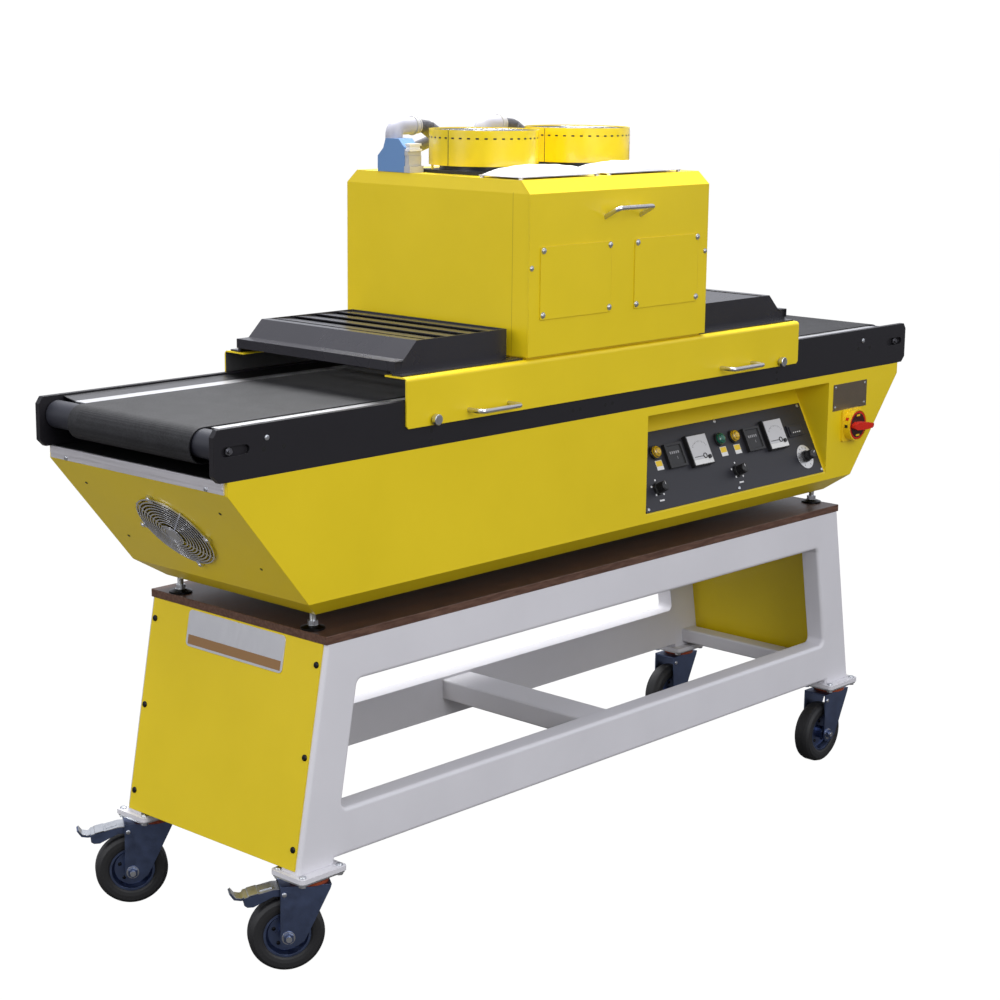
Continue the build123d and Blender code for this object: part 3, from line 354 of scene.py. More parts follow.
def castor_seat(sx, sy, heading):
    """The castor's own frame: X is the way the wheel trails, Z is up from the floor."""
    at = Matrix.Translation((sx * FOOT_PLATE_AT[0] * MM, sy * FOOT_PLATE_AT[1] * MM, 0))
    return at @ Matrix.Rotation(math.radians(heading), 4, "Z")


def ring(bm, seat, inner, outer, low, high, sides=48):
    """Flat ring standing on a seat."""
    before = set(bm.verts)
    loop = [Vector((r * MM, 0, h * MM)) for r, h in ((inner, low), (outer, low), (outer, high), (inner, high))]
    verts = [bm.verts.new(p) for p in loop]
    edges = [bm.edges.new((verts[i], verts[(i + 1) % 4])) for i in range(4)]
    bmesh.ops.spin(bm, geom=verts + edges, cent=(0, 0, 0), axis=(0, 0, 1), angle=2 * math.pi, steps=sides,
                   use_merge=True)
    bmesh.ops.transform(bm, matrix=seat, verts=[v for v in bm.verts if v not in before])


def folded_strip(bm, seat, line, half, thick):
    """Sheet bent along a line of (x, z) points, as wide as half to each side in y."""
    low = [[bm.verts.new(seat @ (Vector((x, y, z)) * MM)) for x, z in line] for y in (-half, half)]
    high = [[bm.verts.new(seat @ (Vector((x, y, z + thick)) * MM)) for x, z in line] for y in (-half, half)]
    for k in range(len(line) - 1):
        for a, b in ((low[0], low[1]), (high[0], high[1]), (low[0], high[0]), (low[1], high[1])):
            bm.faces.new((a[k], a[k + 1], b[k + 1], b[k]))
    for k in (0, -1):
        bm.faces.new((low[0][k], low[1][k], high[1][k], high[0][k]))


for where, sx, sy, heading in (("front_left", -1, -1, 146), ("back_left", -1, 1, 146),
                               ("front_right", 1, -1, 180), ("back_right", 1, 1, 180)):
    seat = castor_seat(sx, sy, heading)
    bm = bmesh.new()
    ring(bm, seat, 24, 32, 149.2, 154.8)
    piece(where + "_dust_ring", bm, orange_seal, body=where + "_castor")
    bm = bmesh.new()
    for side in (-1, 1):
        button_head(bm, seat @ seat_on((44, side * 27, 136), (0, side, 0)), 4.2, 2.2)
        disc(bm, seat @ seat_on((38, side * 27, 62.5), (0, side, 0)), 11.0, 1.6)
        disc(bm, seat @ seat_on((38, side * 33, 62.5), (0, side, 0)), 5.0, 3.5, 20)
    piece(where + "_fork_rivets", bm, bright_zinc, body=where + "_castor")
    bm = bmesh.new()
    for k in range(5):
        angle = math.radians(72 * k + 20)
        for side in (-1, 1):
            at = (38 + 22 * math.cos(angle), side * 4, 62.5 + 22 * math.sin(angle))
            button_head(bm, seat @ seat_on(at, (0, side, 0)), 3.4, 1.8)
    piece(where + "_wheel_rivets", bm, black_metal, body=where + "_wheel_set")
    if sx < 0:
        bm = bmesh.new()
        folded_strip(bm, seat, [(38, 142.2), (60, 142.2), (84, 136.7), (85, 137.6), (100, 134.2), (101, 132.8),
                                (107, 131.4)], 18.5, 1.4)
        folded_strip(bm, seat, [(62, 143.2), (82, 138.6)], 10, 1.6)
        folded_strip(bm, seat, [(105, 131.6), (112, 129.0), (121, 131.0), (127.6, 139.4)], 13, 1.3)
        piece(where + "_pedal_tread", bm, bright_zinc, body=where + "_pedal")


# Levelling feet: zinc-plated threaded rods with a nut on round pads.
dress(patched(metal("foot_zinc", (0.62, 0.64, 0.67), gloss=0.32),
              lambda tree, axis: maths(tree, "LESS_THAN", axis[2], 0.5598), (0.02, 0.02, 0.022)), "levelling_feet")
bm = bmesh.new()
for sx in (-1, 1):
    for sy in (-1, 1):
        for k in range(9):
            ring_seat = Matrix.Translation((sx * 0.700, sy * 0.166, (567.6 + 1.5 * k) * MM))
            disc(bm, ring_seat, 5.0, 0.75, 20, top=5.5)
            disc(bm, ring_seat, 5.5, 0.75, 20, lift=0.75, top=5.0)
piece("foot_threads", bm, bright_zinc)


# Cabinet: folded yellow sheet with sloped ends, an aluminium strip in two steps under each end of the belt and
# screws that hold the end sheets.
dress(patched(painted("cabinet_paint", YELLOW, gloss=0.36, grain=0.12, dust=0.03),
              lambda tree, axis: maths(tree, "GREATER_THAN", axis[2], 0.8295), (0.006, 0.006, 0.007)), "cabinet")
strip_metal = metal("strip_metal", (0.86, 0.84, 0.87), gloss=0.45, grain=(1, 0.1, 12), lines=0.08, stain=0.05)
dress(strip_metal, "end_trims")
RIM = (919.5, 808.0)
SLOPE_FOOT = (757.5, 612.0)
run, drop = RIM[0] - SLOPE_FOOT[0], RIM[1] - SLOPE_FOOT[1]
slope_length = math.hypot(run, drop)


def slope_seat(side, down, y, rise=0.0):
    """On the sloped end of the cabinet: down is measured along the slope from its rim."""
    out = Vector((drop, 0, -run)) / slope_length
    x = RIM[0] - run / slope_length * down + out.x * rise
    z = RIM[1] - drop / slope_length * down + out.z * rise
    return seat_on((side * x, y, z), (side * out.x, 0, out.z))


bm = bmesh.new()
for side in (-1, 1):
    for y, down in ((168, 50), (-165, 50), (170, 182), (-162, 182)):
        disc(bm, slope_seat(side, down, y, 0.1), 2.6, 0.6, 16)
piece("end_sheet_screws", bm, black_metal)
bm = bmesh.new()
for side in (-1, 1):
    for y in (-174, 174):
        disc(bm, seat_on((side * 922.5, y, 814.0), (side, 0, 0)), 4.4, 0.3)
        button_head(bm, seat_on((side * 922.7, y, 814.0), (side, 0, 0)), 3.8, 1.6, recess=0.9)
piece("end_trim_screws", bm, bright_zinc)


# End fan: black axial fan in the left end behind a chromed ring guard that four clips hold.
fan_black = painted("fan_black", (0.008, 0.010, 0.018), gloss=0.3, grain=0.05, dust=0.05)
dress(fan_black, "end_fan")
chrome = metal("chrome", (0.70, 0.71, 0.75), gloss=0.14, lines=0.02, stain=0.05)
handle_steel = metal("handle_steel", (0.62, 0.61, 0.62), gloss=0.30, lines=0.05, stain=0.1)
dress(chrome, "end_fan_guard")
dress(handle_steel, "house_handle", "skirt_handles")
bm = bmesh.new()
seat = slope_seat(-1, 128, 2, 0.2)
for quarter in range(4):
    turned = seat @ Matrix.Rotation(math.radians(90 * quarter), 4, "Z")
    brick(bm, turned, (71, 84), (-4.5, 4.5), (0, 5.5))
    button_head(bm, turned @ Matrix.Translation((0.080, 0, 0.0055)), 3.6, 2.0)
ring(bm, seat, 20.2, 22.4, 7.4, 10.8)
ring(bm, seat, 15.0, 16.6, 10.2, 11.0)
piece("fan_clips", bm, chrome)
# A black disc behind the fan blades fills the fan's bore: painted shade for the dark inside of the cabinet seen
# through the fan.
bm = bmesh.new()
disc(bm, slope_seat(-1, 128, 2, -33.6), 71.8, 0.6, 64)
piece("fan_shade_disc", bm, fan_black)
bm = bmesh.new()
disc(bm, slope_seat(-1, 128, 2, 8.4), 20.0, 2.0, 48)
piece("fan_badge_blank", bm, painted("badge_grey", (0.30, 0.30, 0.31), grain=0.1, dust=0.0))


# Control panel: black anodised sheet on the sloped floor of the recess, held by small round screws.
panel_black = painted("panel_black", (0.020, 0.020, 0.026), gloss=0.42, grain=0.1, dust=0.02)
dress(panel_black, "control_panel")
RECESS_LOW = (-220.5, 627.0)
RECESS_HIGH = (-126.5, 813.0)
recess_run = Vector((0, RECESS_HIGH[0] - RECESS_LOW[0], RECESS_HIGH[1] - RECESS_LOW[1])).normalized()
recess_out = Vector((0, -recess_run.z, recess_run.y))


def panel_seat_at(x, up, proud=2.5):
    """On the control panel: up is measured up the slope from the lower lip."""
    at = Vector((x, RECESS_LOW[0], RECESS_LOW[1])) + recess_run * up + recess_out * proud
    return seat_on(at, recess_out, recess_run)


bm = bmesh.new()
for x, up in ((648, 148), (369, 149), (654, 9), (91, 9), (89, 80), (373, 10)):
    button_head(bm, panel_seat_at(x, up), 3.6, 1.6)
piece("control_panel_screws", bm, bright_zinc)
ink_white = painted("ink_white", (0.75, 0.75, 0.75), grain=0.0, dust=0.0)
label_white = painted("label_white", (0.78, 0.78, 0.76), grain=0.0, dust=0.0)
label_yellow = painted("label_yellow", (0.86, 0.58, 0.02), grain=0.0, dust=0.0)
bm = bmesh.new()
for x in (136, 385):
    for dx, dy in ((1, 17), (-15, 6), (-9, -11), (13, -12)):
        disc(bm, panel_seat_at(x + dx, 43.5 + dy), 2.2, 0.15, 12)
    brick(bm, panel_seat_at(x + 2, 43.5 - 23), (-7, 7), (-1.6, 1.6), (0, 0.15))
for k in range(4):
    brick(bm, panel_seat_at(597 + 7 * k, 94, 9.0), (-2, 2), (-1, 1), (0, 0.12))
piece("panel_marks", bm, ink_white)
bm = bmesh.new()
yellow = bmesh.new()
for x, up in ((164.7, 86.4), (366.5, 86.9), (410.7, 86)):
    brick(bm, panel_seat_at(x, up), (-10, 10), (-9.5, 9.5), (0, 0.25))
    brick(yellow, panel_seat_at(x, up), (-9, 9), (-2, 8.5), (0.25, 0.32))
piece("lamp_labels", bm, label_white)
piece("lamp_label_fields", yellow, label_yellow)


# Meters, counters and lamps: moving-coil meters with a pale face and black rim, black hour counters with a small
# window, and domed pilot lamps in black bezels.
case_black = painted("case_black", (0.015, 0.015, 0.016), gloss=0.35, grain=0.05, dust=0.03)
dress(case_black, "panel_meters", "hour_counters", "left_selector_knob", "middle_selector_knob", "speed_knob")
meter_face = painted("meter_face", (0.58, 0.58, 0.59), gloss=0.25, grain=0.0, dust=0.0)
ink_black = painted("ink_black", (0.01, 0.01, 0.01), grain=0.0, dust=0.0)
bm, ink, pale = bmesh.new(), bmesh.new(), bmesh.new()
for x in (285, 534):
    top = panel_seat_at(x, 98.5, 12.5)
    brick(bm, top, (-29, 29), (-29, 29), (0, 0.4))
    for k in range(13):
        angle = math.radians(42 + 8 * k)
        tick = top @ Matrix.Translation((0.030 * math.cos(angle), -0.012 + 0.030 * math.sin(angle), 0.0004)) \
            @ Matrix.Rotation(angle, 4, "Z")
        brick(ink, tick, (-2.2 if k % 3 else -3.6, 0), (-0.35, 0.35), (0, 0.12))
    brick(ink, top, (-24, 4), (-14.0, -12.8), (0.4, 0.9))
    ring(ink, top @ Matrix.Translation((0.008, -0.0134, 0)), 4.0, 5.4, 0.4, 1.4, 24)
    disc(ink, top @ Matrix.Translation((0.019, -0.017, 0.0004)), 4.0, 3.5, 20)
    brick(pale, top, (-29, 29), (-29, -19), (0.4, 0.6))
piece("meter_faces", bm, meter_face)
piece("meter_scales", ink, ink_black)
piece("meter_name_strips", pale, label_white)
bm = bmesh.new()
for x in (213, 463):
    top = panel_seat_at(x, 98.5, 8.6)
    for k in range(5):
        brick(bm, top, (-15 + 6 * k, -11.5 + 6 * k), (3, 8), (0, 0.2))
    brick(bm, top, (3, 4.5), (-8, -3), (0, 0.2))
piece("counter_digits", bm, painted("digit_grey", (0.35, 0.35, 0.36), grain=0.0, dust=0.0))


def lamp_glass(name, color):
    mat = bpy.data.materials.new(name)
    mat.use_nodes = True
    shader = mat.node_tree.nodes["Principled BSDF"]
    tree = mat.node_tree
    place = add(tree, "TexCoord").outputs["Object"]
    cells = add(tree, "TexVoronoi", Vector=place, Scale=420.0).outputs["Distance"]
    feed(tree, shader.inputs["Base Color"], mixed(tree, ramp(tree, cells, 0.2, 0.9), (*color, 1),
                                                  (*[c * 0.45 for c in color], 1)))
    shader.inputs["Roughness"].default_value = 0.18
    shader.inputs["Coat Weight"].default_value = 0.6
    feed(tree, shader.inputs["Normal"], add(tree, "Bump", Strength=0.35, Distance=0.0006, Height=cells).outputs[0])
    return mat


dress(case_black, "pilot_lamps")
amber, green = lamp_glass("amber_lens", (0.80, 0.50, 0.02)), lamp_glass("green_lens", (0.01, 0.16, 0.10))
for name, x, glass in (("left_lamp_lens", 161, amber), ("green_lamp_lens", 362, green),
                       ("right_lamp_lens", 408, amber)):
    bm = bmesh.new()
    made = bmesh.ops.create_uvsphere(bm, u_segments=32, v_segments=16, radius=1.0)
    low = [v for v in made["verts"] if v.co.z < -1e-4]
    bmesh.ops.delete(bm, geom=low, context="VERTS")
    bmesh.ops.contextual_create(bm, geom=[e for e in bm.edges if e.is_boundary])
    seat = panel_seat_at(x, 112, 8.0)
    bmesh.ops.transform(bm, matrix=seat @ Matrix.Diagonal((0.0117, 0.0117, 0.0092, 1)), verts=bm.verts)
    piece(name, bm, glass)


# Knobs: fluted black knobs with a pointer line; the speed knob turns over a bright numbered-style dial.
dial_metal = metal("dial_metal", (0.80, 0.80, 0.80), gloss=0.38, lines=0.03, stain=0.0)
bm = bmesh.new()
disc(bm, panel_seat_at(615, 41.5), 25.0, 0.5, 64)
piece("speed_dial", bm, dial_metal)
bm = bmesh.new()
for k in range(11):
    angle = math.radians(-60 + 30 * k)
    tick = panel_seat_at(615, 41.5, 3.0) @ Matrix.Rotation(angle, 4, "Z") @ Matrix.Translation((0.0195, 0, 0))
    brick(bm, tick, (-2, 2), (-0.5, 0.5), (0, 0.1))
piece("speed_dial_marks", bm, ink_black)
for body, x, up, start in (("left_selector", 136, 43.5, 90), ("middle_selector", 385, 43.5, 90),
                           ("belt_speed", 615, 41.5, 40)):
    seat = panel_seat_at(x, up, 3.1)
    bm = bmesh.new()
    for k in range(18):
        flute = seat @ Matrix.Rotation(math.radians(20 * k), 4, "Z") @ Matrix.Translation((0.0088, 0, 0.0055))
        disc(bm, flute, 0.9, 15.5, 8)
    piece(body + "_flutes", bm, case_black, body=body)
    bm = bmesh.new()
    line = seat @ Matrix.Rotation(math.radians(start), 4, "Z")
    brick(bm, line, (2, 8.5), (-0.6, 0.6), (22.0, 22.2))
    piece(body + "_pointer", bm, ink_white, body=body)


# Main switch: yellow moulded plate and collar with a red and a black window, and a red lever on a dark rotor.
switch_yellow = painted("switch_yellow", (0.88, 0.60, 0.01), gloss=0.3, grain=0.03, dust=0.0)
switch_red = painted("switch_red", (0.62, 0.02, 0.008), gloss=0.28, grain=0.03, dust=0.0)
dress(switch_yellow, "switch_base")
dress(switch_red, "switch_handle")
SWITCH_AT = (749.0, 718.5)
for angle, name, mat in ((27, "switch_red_window", switch_red), (0, "switch_black_window", ink_black)):
    bm = bmesh.new()
    turn = Matrix.Rotation(math.radians(angle), 4, "Y")
    seat = Matrix.Translation((SWITCH_AT[0] * MM, 0, SWITCH_AT[1] * MM)) @ turn
    brick(bm, seat, (-32.9, -31.5), (-236, -229), (-3.2, 3.2))
    piece(name, bm, mat)
bm = bmesh.new()
rotor = seat_on((SWITCH_AT[0], -239.4, SWITCH_AT[1]), (0, -1, 0))
disc(bm, rotor, 25.0, 0.6, 48)
piece("rotor_well", bm, painted("rotor_dark", (0.035, 0.004, 0.003), gloss=0.3, grain=0.3, dust=0.0),
      body="main_switch_handle")
bm = bmesh.new()
for side in (-1, 1):
    brick(bm, rotor, (-6, 6), (side * 20.5 - 2, side * 20.5 + 2), (0.5, 0.9))
piece("rotor_marks", bm, switch_yellow, body="main_switch_handle")

# Type plate above the switch: thin blank metal plate on four rivets.
bm = bmesh.new()
brick(bm, seat_on((743.5, -220.5, 778.8), (0, -1, 0)), (-61, 61), (-27.3, 27.3), (0, 0.8))
piece("type_plate", bm, metal("type_plate_metal", (0.27, 0.22, 0.16), gloss=0.45, grain=(1, 1, 14), lines=0.1))
bm = bmesh.new()
for dx in (-53, 53):
    for dz in (-19.6, 21):
        button_head(bm, seat_on((743.5 + dx, -221.3, 778.8 + dz), (0, -1, 0)), 2.8, 1.2)
piece("type_plate_rivets", bm, bright_zinc)


# Conveyor: black powder-coated side plates with bolts and adjusting slots, a coated glass-mesh belt round two
# rubber-covered rollers, and a bright slider bed under it.
black_paint = painted("black_paint", (0.011, 0.010, 0.013), gloss=0.44, grain=0.3, dust=0.04,
                      Specular_IOR_Level=0.35)
dress(black_paint, "front_side_plate", "back_side_plate")
roller_rubber = painted("roller_rubber", (0.018, 0.019, 0.028), gloss=0.5, grain=0.15, dust=0.0, grain_scale=400.0)
bed_steel = metal("bed_steel", (0.70, 0.70, 0.71), gloss=0.36, grain=(0.2, 6, 6), lines=0.03, stain=0.1)
dress(roller_rubber, "end_rollers")
dress(patched(bed_steel, lambda tree, axis: ramp(tree, maths(tree, "ABSOLUTE", axis[1]), 0.178, 0.1795),
              (0.10, 0.10, 0.105)), "slider_bed")


def belt_look():
    """Open mesh of black threads with a bare weave of knots, and a closed smooth strip along the back edge; the gaps
    are painted as shade.
    """
    mat = bpy.data.materials.new("belt_mesh")
    mat.use_nodes = True
    tree = mat.node_tree
    shader = tree.nodes["Principled BSDF"]
    place = add(tree, "TexCoord").outputs["Object"]
    axis = add(tree, "SeparateXYZ", place).outputs
    along = maths(tree, "ABSOLUTE", maths(tree, "SINE", maths(tree, "MULTIPLY", axis[0], 1050.0)))
    across = maths(tree, "ABSOLUTE", maths(tree, "SINE", maths(tree, "MULTIPLY", axis[1], 1050.0)))
    thread = maths(tree, "MAXIMUM", along, across)
    strip = maths(tree, "MULTIPLY", ramp(tree, axis[1], 0.1215, 0.1225), 1.0)
    weave = maths(tree, "MAXIMUM", thread, strip)
    wear = noise(tree, place, 22.0, 4.0, 0.6)
    speck = noise(tree, place, 420.0, 2.0, 0.7)
    wear = maths(tree, "ADD", maths(tree, "MULTIPLY", wear, 0.4), maths(tree, "MULTIPLY", speck, 0.6))
    # Painted light and shade: the threads, knots and back strip take a lit copy of the black, the gaps between the
    # threads a darker, shaded copy.
    dark = mixed(tree, wear, (0.003, 0.003, 0.004, 1), (0.009, 0.009, 0.010, 1))
    lit = mixed(tree, ramp(tree, wear, 0.35, 0.65), (0.008, 0.008, 0.009, 1), (0.030, 0.030, 0.033, 1))
    feed(tree, shader.inputs["Base Color"], mixed(tree, ramp(tree, weave, 0.45, 0.85), dark, lit))
    shader.inputs["Roughness"].default_value = 0.62
    shader.inputs["Specular IOR Level"].default_value = 0.3
    feed(tree, shader.inputs["Normal"], add(tree, "Bump", Strength=0.6, Distance=0.0006, Height=weave).outputs[0])
    return mat


belt_mesh = belt_look()
dress(belt_mesh, "belt")
# Near-black marks laid on the surface for the holes in the side plates and the slots in the roof-fan shrouds:
# painted shade for the dark inside of the openings.
hole_shade = painted("hole_shade", (0.003, 0.003, 0.003), gloss=0.8, grain=0.0, dust=0.0)
bm, holes, bright = bmesh.new(), bmesh.new(), bmesh.new()
for side in (-1, 1):
    for x in (-914, 907):
        hex_head(bm, seat_on((x, side * 214.5, 876.0), (0, side, 0)), 7.0, 5.0)
        disc(bm, seat_on((x, side * 214.5, 876.0), (0, side, 0)), 3.6, 9.0, 16)
    for x, z in ((-841, 888.6), (783.6, 888.1)):
        button_head(bright, seat_on((x, side * 220.5, z), (0, side, 0)), 4.6, 2.2)
    for x, z, r in ((-846.8, 871.8, 4), (-806.5, 871.1, 4), (767.1, 872.8, 4), (810, 871.7, 4),
                    (-131.5, 847.3, 3.5), (-112.3, 848.3, 3.5), (-43.2, 847.7, 3.5), (-23.4, 848.7, 3.5),
                    (-486, 855.3, 3.5), (-486, 839.4, 3.5), (481, 853.6, 3.5), (481.8, 838.7, 3.5)):
        disc(holes, seat_on((x, side * 220.5, z), (0, side, 0)), r, 0.15, 20)
piece("plate_axle_bolts", bm, metal("dull_zinc", (0.22, 0.22, 0.24), gloss=0.3))
piece("plate_holes", holes, hole_shade)
piece("plate_screws", bright, bright_zinc)


# Skirts: yellow folded sheet over the side plates, with bright bow handles and thumb knobs to lift them off.
dress(patched(painted("skirt_paint", YELLOW, gloss=0.36, grain=0.12, dust=0.03),
              lambda tree, axis: maths(tree, "MULTIPLY",
                                       maths(tree, "LESS_THAN", maths(tree, "ABSOLUTE", axis[1]), 0.2207),
                                       maths(tree, "LESS_THAN", axis[2], 0.9455)), (0.05, 0.05, 0.05)),
      "front_skirt", "back_skirt")
dress(bright_zinc, "thumb_knobs")


# Tunnel covers: black hoods with louvred tops on both sides of the lamp house.
cover_black = painted("cover_black", (0.022, 0.021, 0.026), gloss=0.27, grain=0.15, dust=0.03,
                      Specular_IOR_Level=0.6)
dress(cover_black, "left_tunnel_cover", "right_tunnel_cover")


# Lamp house: yellow sheet housing with a screwed front cover that carries two hatches and a bright handle. The
# places of its stickers stay bare.
def cover_seam(tree, axis):
    """Thin dark joint where the front cover's flanges end on the side walls."""
    wall = maths(tree, "GREATER_THAN", maths(tree, "ABSOLUTE", maths(tree, "ADD", axis[0], 0.0065)), 0.2473)
    line = maths(tree, "LESS_THAN", maths(tree, "ABSOLUTE", maths(tree, "ADD", axis[1], 0.1835)), 0.0006)
    return maths(tree, "MULTIPLY", maths(tree, "MULTIPLY", wall, line), 0.55)


dress(patched(painted("house_paint", YELLOW, gloss=0.34, grain=0.12, dust=0.02), cover_seam, (0.25, 0.15, 0.0)),
      "lamp_house", "house_front_cover")
bm = bmesh.new()
for x, z in ((-219, 1132), (-42.5, 1132.6), (-43, 1023), (-219.4, 1022.4), (34.1, 1132.2), (207.6, 1132.9),
             (207.1, 1023.1), (32.7, 1022.3)):
    disc(bm, seat_on((x, -223.8, z), (0, -1, 0)), 5.6, 0.9)
    button_head(bm, seat_on((x, -224.7, z), (0, -1, 0)), 4.4, 2.4)
for x, z in ((-247.3, 1103.8), (233.9, 1105.4)):
    disc(bm, seat_on((x, -221.8, z), (0, -1, 0)), 4.8, 0.8)
    button_head(bm, seat_on((x, -222.6, z), (0, -1, 0)), 3.8, 2.2)
piece("house_screws", bm, bright_zinc)


# Roof fans: glossy yellow shrouds with a row of small slots round axial fans, bright wire guards on top.
shroud_paint = painted("shroud_paint", YELLOW, gloss=0.24, grain=0.04, dust=0.0, Coat_Weight=0.5)
dress(shroud_paint, "fan_shrouds")
dress(fan_black, "roof_fans")
dress(chrome, "fan_guards")
bm = bmesh.new()
# Each slot is a thin near-black mark on the shroud wall: painted shade for the opening.
for x in (-130, 124):
    for k in range(40):
        angle = math.radians(9 * k)
        out = Vector((math.cos(angle), math.sin(angle), 0))
        brick(bm, seat_on((x + 98 * out.x - 0.12 * out.x, 98 * out.y - 0.12 * out.y, 1313), out),
              (-2.8, 2.8), (-1.4, 1.4), (0, 0.2))
piece("shroud_slots", bm, hole_shade)
bm = bmesh.new()
for x in (-130, 124):
    brick(bm, Matrix.Translation((x * MM, 0, 0)), (-98.3, -97.7), (-6.2, -5.4), (1265, 1327))
    for k in range(7):
        blade = Matrix.Translation((x * MM, 0, 1.309)) @ Matrix.Rotation(math.radians(360 / 7 * k), 4, "Z") \
            @ Matrix.Translation((0.053, 0, 0)) @ Matrix.Rotation(math.radians(32), 4, "X")
        brick(bm, blade, (-20, 20), (-17, 17), (-0.8, 0.8))
piece("roof_fan_blades", bm, fan_black)


# Filters: two thin aluminium frames on the roof, each holding a loose white fleece pad.
dress(strip_metal, "filter_frames")


def fleece_look():
    mat = bpy.data.materials.new("filter_fleece")
    mat.use_nodes = True
    tree = mat.node_tree
    shader = tree.nodes["Principled BSDF"]
    place = add(tree, "TexCoord").outputs["Object"]
    fibre = noise(tree, place, 700.0, 8.0, 0.8)
    tuft = noise(tree, place, 60.0, 5.0, 0.7)
    feed(tree, shader.inputs["Base Color"], mixed(tree, tuft, (0.70, 0.71, 0.73, 1), (0.88, 0.88, 0.88, 1)))
    shader.inputs["Roughness"].default_value = 0.95
    shader.inputs["Sheen Weight"].default_value = 0.4
    height = maths(tree, "ADD", fibre, maths(tree, "MULTIPLY", tuft, 2.0))
    feed(tree, shader.inputs["Normal"], add(tree, "Bump", Strength=0.7, Distance=0.002, Height=height).outputs[0])
    return mat


fleece = fleece_look()
for name, left in (("left_filter_pad", -250), ("right_filter_pad", -18)):
    bm = bmesh.new()
    made = bmesh.ops.create_grid(bm, x_segments=72, y_segments=36, size=1.0)
    for vert in bm.verts:
        u, v = vert.co.x, vert.co.y
        swell = ((1 - abs(u) ** 3) * (1 - abs(v) ** 4)) ** 0.6
        fold = math.sin(9 * u + 3.1 * v + left) * 0.7 + math.sin(17 * u - 7 * v) * 0.4
        vert.co = Vector((left + 103 + 99.5 * u, -148.5 + 45.0 * v, 1255.3 + swell * (15.5 + fold))) * MM
    pad = bmesh.ops.extrude_face_region(bm, geom=list(bm.faces))
    for vert in [g for g in pad["geom"] if isinstance(g, bmesh.types.BMVert)]:
        vert.co.z = 1255.2 * MM
    shown = piece(name + "_fleece", bm, fleece, sharp=180.0)
    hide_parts(name)


# Plugs and hoses: grey-blue moulded hoods with a locking lever, grey elbows and corrugated hoses that run over the
# back of the house down to the cabinet.
plug_blue = painted("plug_blue", (0.13, 0.26, 0.50), gloss=0.45, grain=0.1, dust=0.03)
elbow_grey = painted("elbow_grey", (0.42, 0.42, 0.48), gloss=0.4, grain=0.1, dust=0.03)
hose_grey = painted("hose_grey", (0.12, 0.12, 0.135), gloss=0.5, grain=0.1, dust=0.05)
lever_grey = painted("lever_grey", (0.50, 0.49, 0.47), gloss=0.45, grain=0.1, dust=0.0)
dress(plug_blue, "plug_hoods")
dress(elbow_grey, "plug_elbows")
dress(hose_grey, "hoses")
bm = bmesh.new()
white_lever = painted("lever_white", (0.80, 0.80, 0.80), gloss=0.35, grain=0.0, dust=0.0)
levers, rings = bmesh.new(), bmesh.new()
for x in (-235, -8):
    base = Matrix.Translation((x * MM, 0, 0))
    for low, high, half, reach in ((1250.5, 1262, 17.5, 14), (1262, 1280, 15.5, 10), (1280, 1287, 16.5, 8)):
        brick(bm, base, (-half, half), (78 - reach, 78.1), (low, high))
    brick(levers, base, (-16, 16), (66, 78.1), (1287.5, 1291.5))
    brick(levers, base, (-13, 13), (69, 78.1), (1291.5, 1297))
    brick(levers, base, (-15, 15), (67, 78.1), (1297, 1301))
    for k in range(9):
        at = Matrix.Translation(((x + 59 + 3.4 * k) * MM, 0.121, 1.330 - 0.0004 * k)) @ Matrix.Rotation(
            math.radians(90), 4, "Y")
        ring(rings, at, 9.5, 11.9, -0.9, 0.9, 28)
    for k in range(10):
        at = Matrix.Translation(((x + 92 + 3.6 * k) * MM, (121 + 0.5 * k) * MM, (1.3245 - 0.0018 * k)))
        ring(rings, at @ Matrix.Rotation(math.radians(118), 4, "Y"), 9.5, 11.9, -0.9, 0.9, 28)
    collar = Matrix.Translation((x * MM, 0.121, 1.330)) @ Matrix.Rotation(math.radians(90), 4, "Y")
    for low in (44, 51, 56):
        ring(bm, collar, 12, 17.2 if low == 44 else 14.4, low, low + 2.5, 32)
piece("plug_levers", bm, lever_grey)
piece("plug_lever_tops", levers, white_lever)
piece("hose_rings", rings, hose_grey)


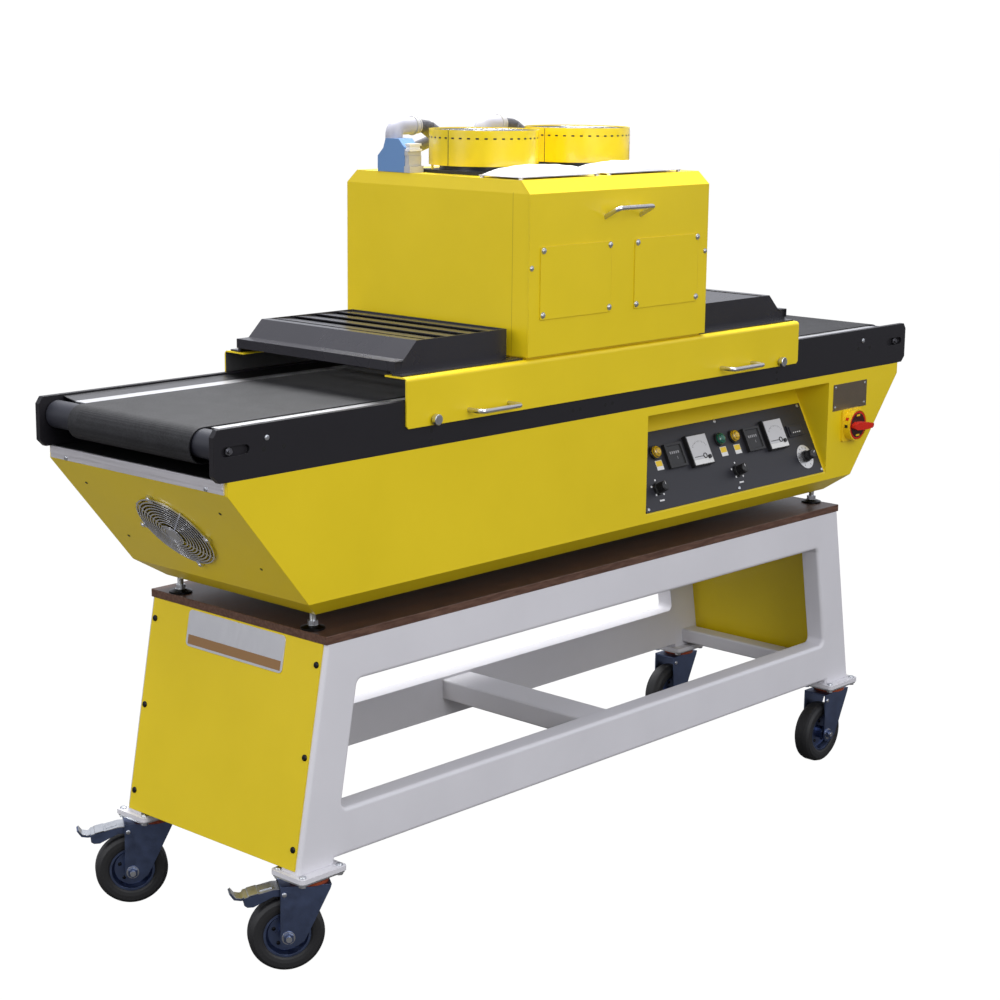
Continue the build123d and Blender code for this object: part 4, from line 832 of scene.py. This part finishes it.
# Studio: plain white floor and room, large soft lights from the front, the left and overhead, and the camera at
# standing eye height.
def studio():
    """Floor that the camera sees as plain white and that the object sees as dark, and a soft white room."""
    floor_mat = bpy.data.materials.new("studio_floor")
    floor_mat.use_nodes = True
    tree = floor_mat.node_tree
    shader = tree.nodes["Principled BSDF"]
    seen = add(tree, "LightPath").outputs["Is Camera Ray"]
    feed(tree, shader.inputs["Base Color"], mixed(tree, seen, (0.13, 0.125, 0.12, 1), (0.02, 0.02, 0.02, 1)))
    feed(tree, shader.inputs["Emission Strength"], seen)
    shader.inputs["Emission Color"].default_value = (1, 1, 1, 1)
    shader.inputs["Roughness"].default_value = 1.0
    shader.inputs["Specular IOR Level"].default_value = 0.0
    bm = bmesh.new()
    bmesh.ops.create_grid(bm, x_segments=1, y_segments=1, size=30.0)
    mesh = bpy.data.meshes.new("studio_floor")
    bm.to_mesh(mesh)
    bm.free()
    mesh.materials.append(floor_mat)
    floor = bpy.data.objects.new("studio_floor", mesh)
    bpy.context.scene.collection.objects.link(floor)
    world = bpy.data.worlds.new("studio_world")
    bpy.context.scene.world = world
    world.use_nodes = True
    tree = world.node_tree
    background = tree.nodes["Background"]
    seen = add(tree, "LightPath").outputs["Is Camera Ray"]
    feed(tree, background.inputs["Color"], mixed(tree, seen, (0.90, 0.92, 1.0, 1), (1, 1, 1, 1)))
    feed(tree, background.inputs["Strength"], maths(tree, "ADD", 0.8, maths(tree, "MULTIPLY", seen, 0.3)))
    for name, place, aim, size, power in (
            ("key", (-1.2, -4.2, 2.6), (0.1, 0, 0.8), 2.4, 75),
            ("top", (0.3, 0.6, 3.2), (0, 0, 0.9), 1.8, 150),
            ("left", (-4.6, 0.6, 2.2), (-0.4, 0, 0.8), 2.0, 45)):
        light = bpy.data.lights.new(name, "AREA")
        light.size, light.energy = size, power
        lamp = bpy.data.objects.new(name, light)
        lamp.location = place
        lamp.rotation_euler = (Vector(aim) - Vector(place)).to_track_quat("-Z", "Y").to_euler()
        bpy.context.scene.collection.objects.link(lamp)


def camera():
    yaw, pitch, roll = (math.radians(a) for a in (42.403, -11.882, 0.673))
    forward = Vector((math.cos(yaw) * math.cos(pitch), math.sin(yaw) * math.cos(pitch), math.sin(pitch)))
    right = Vector((math.sin(yaw), -math.cos(yaw), 0))
    up = right.cross(forward)
    side = right * math.cos(roll) + up * math.sin(roll)
    above = up * math.cos(roll) - right * math.sin(roll)
    data = bpy.data.cameras.new("camera")
    data.sensor_width, data.lens, data.clip_end = 36.0, 2126.98 * 36.0 / 1000.0, 100.0
    cam = bpy.data.objects.new("camera", data)
    cam.matrix_world = Matrix.Translation((-2.93116, -2.60652, 1.45985)) @ \
        Matrix((side, above, -forward)).transposed().to_4x4()
    bpy.context.scene.collection.objects.link(cam)
    bpy.context.scene.camera = cam


studio()
camera()
bpy.context.scene.view_settings.view_transform = "Standard"
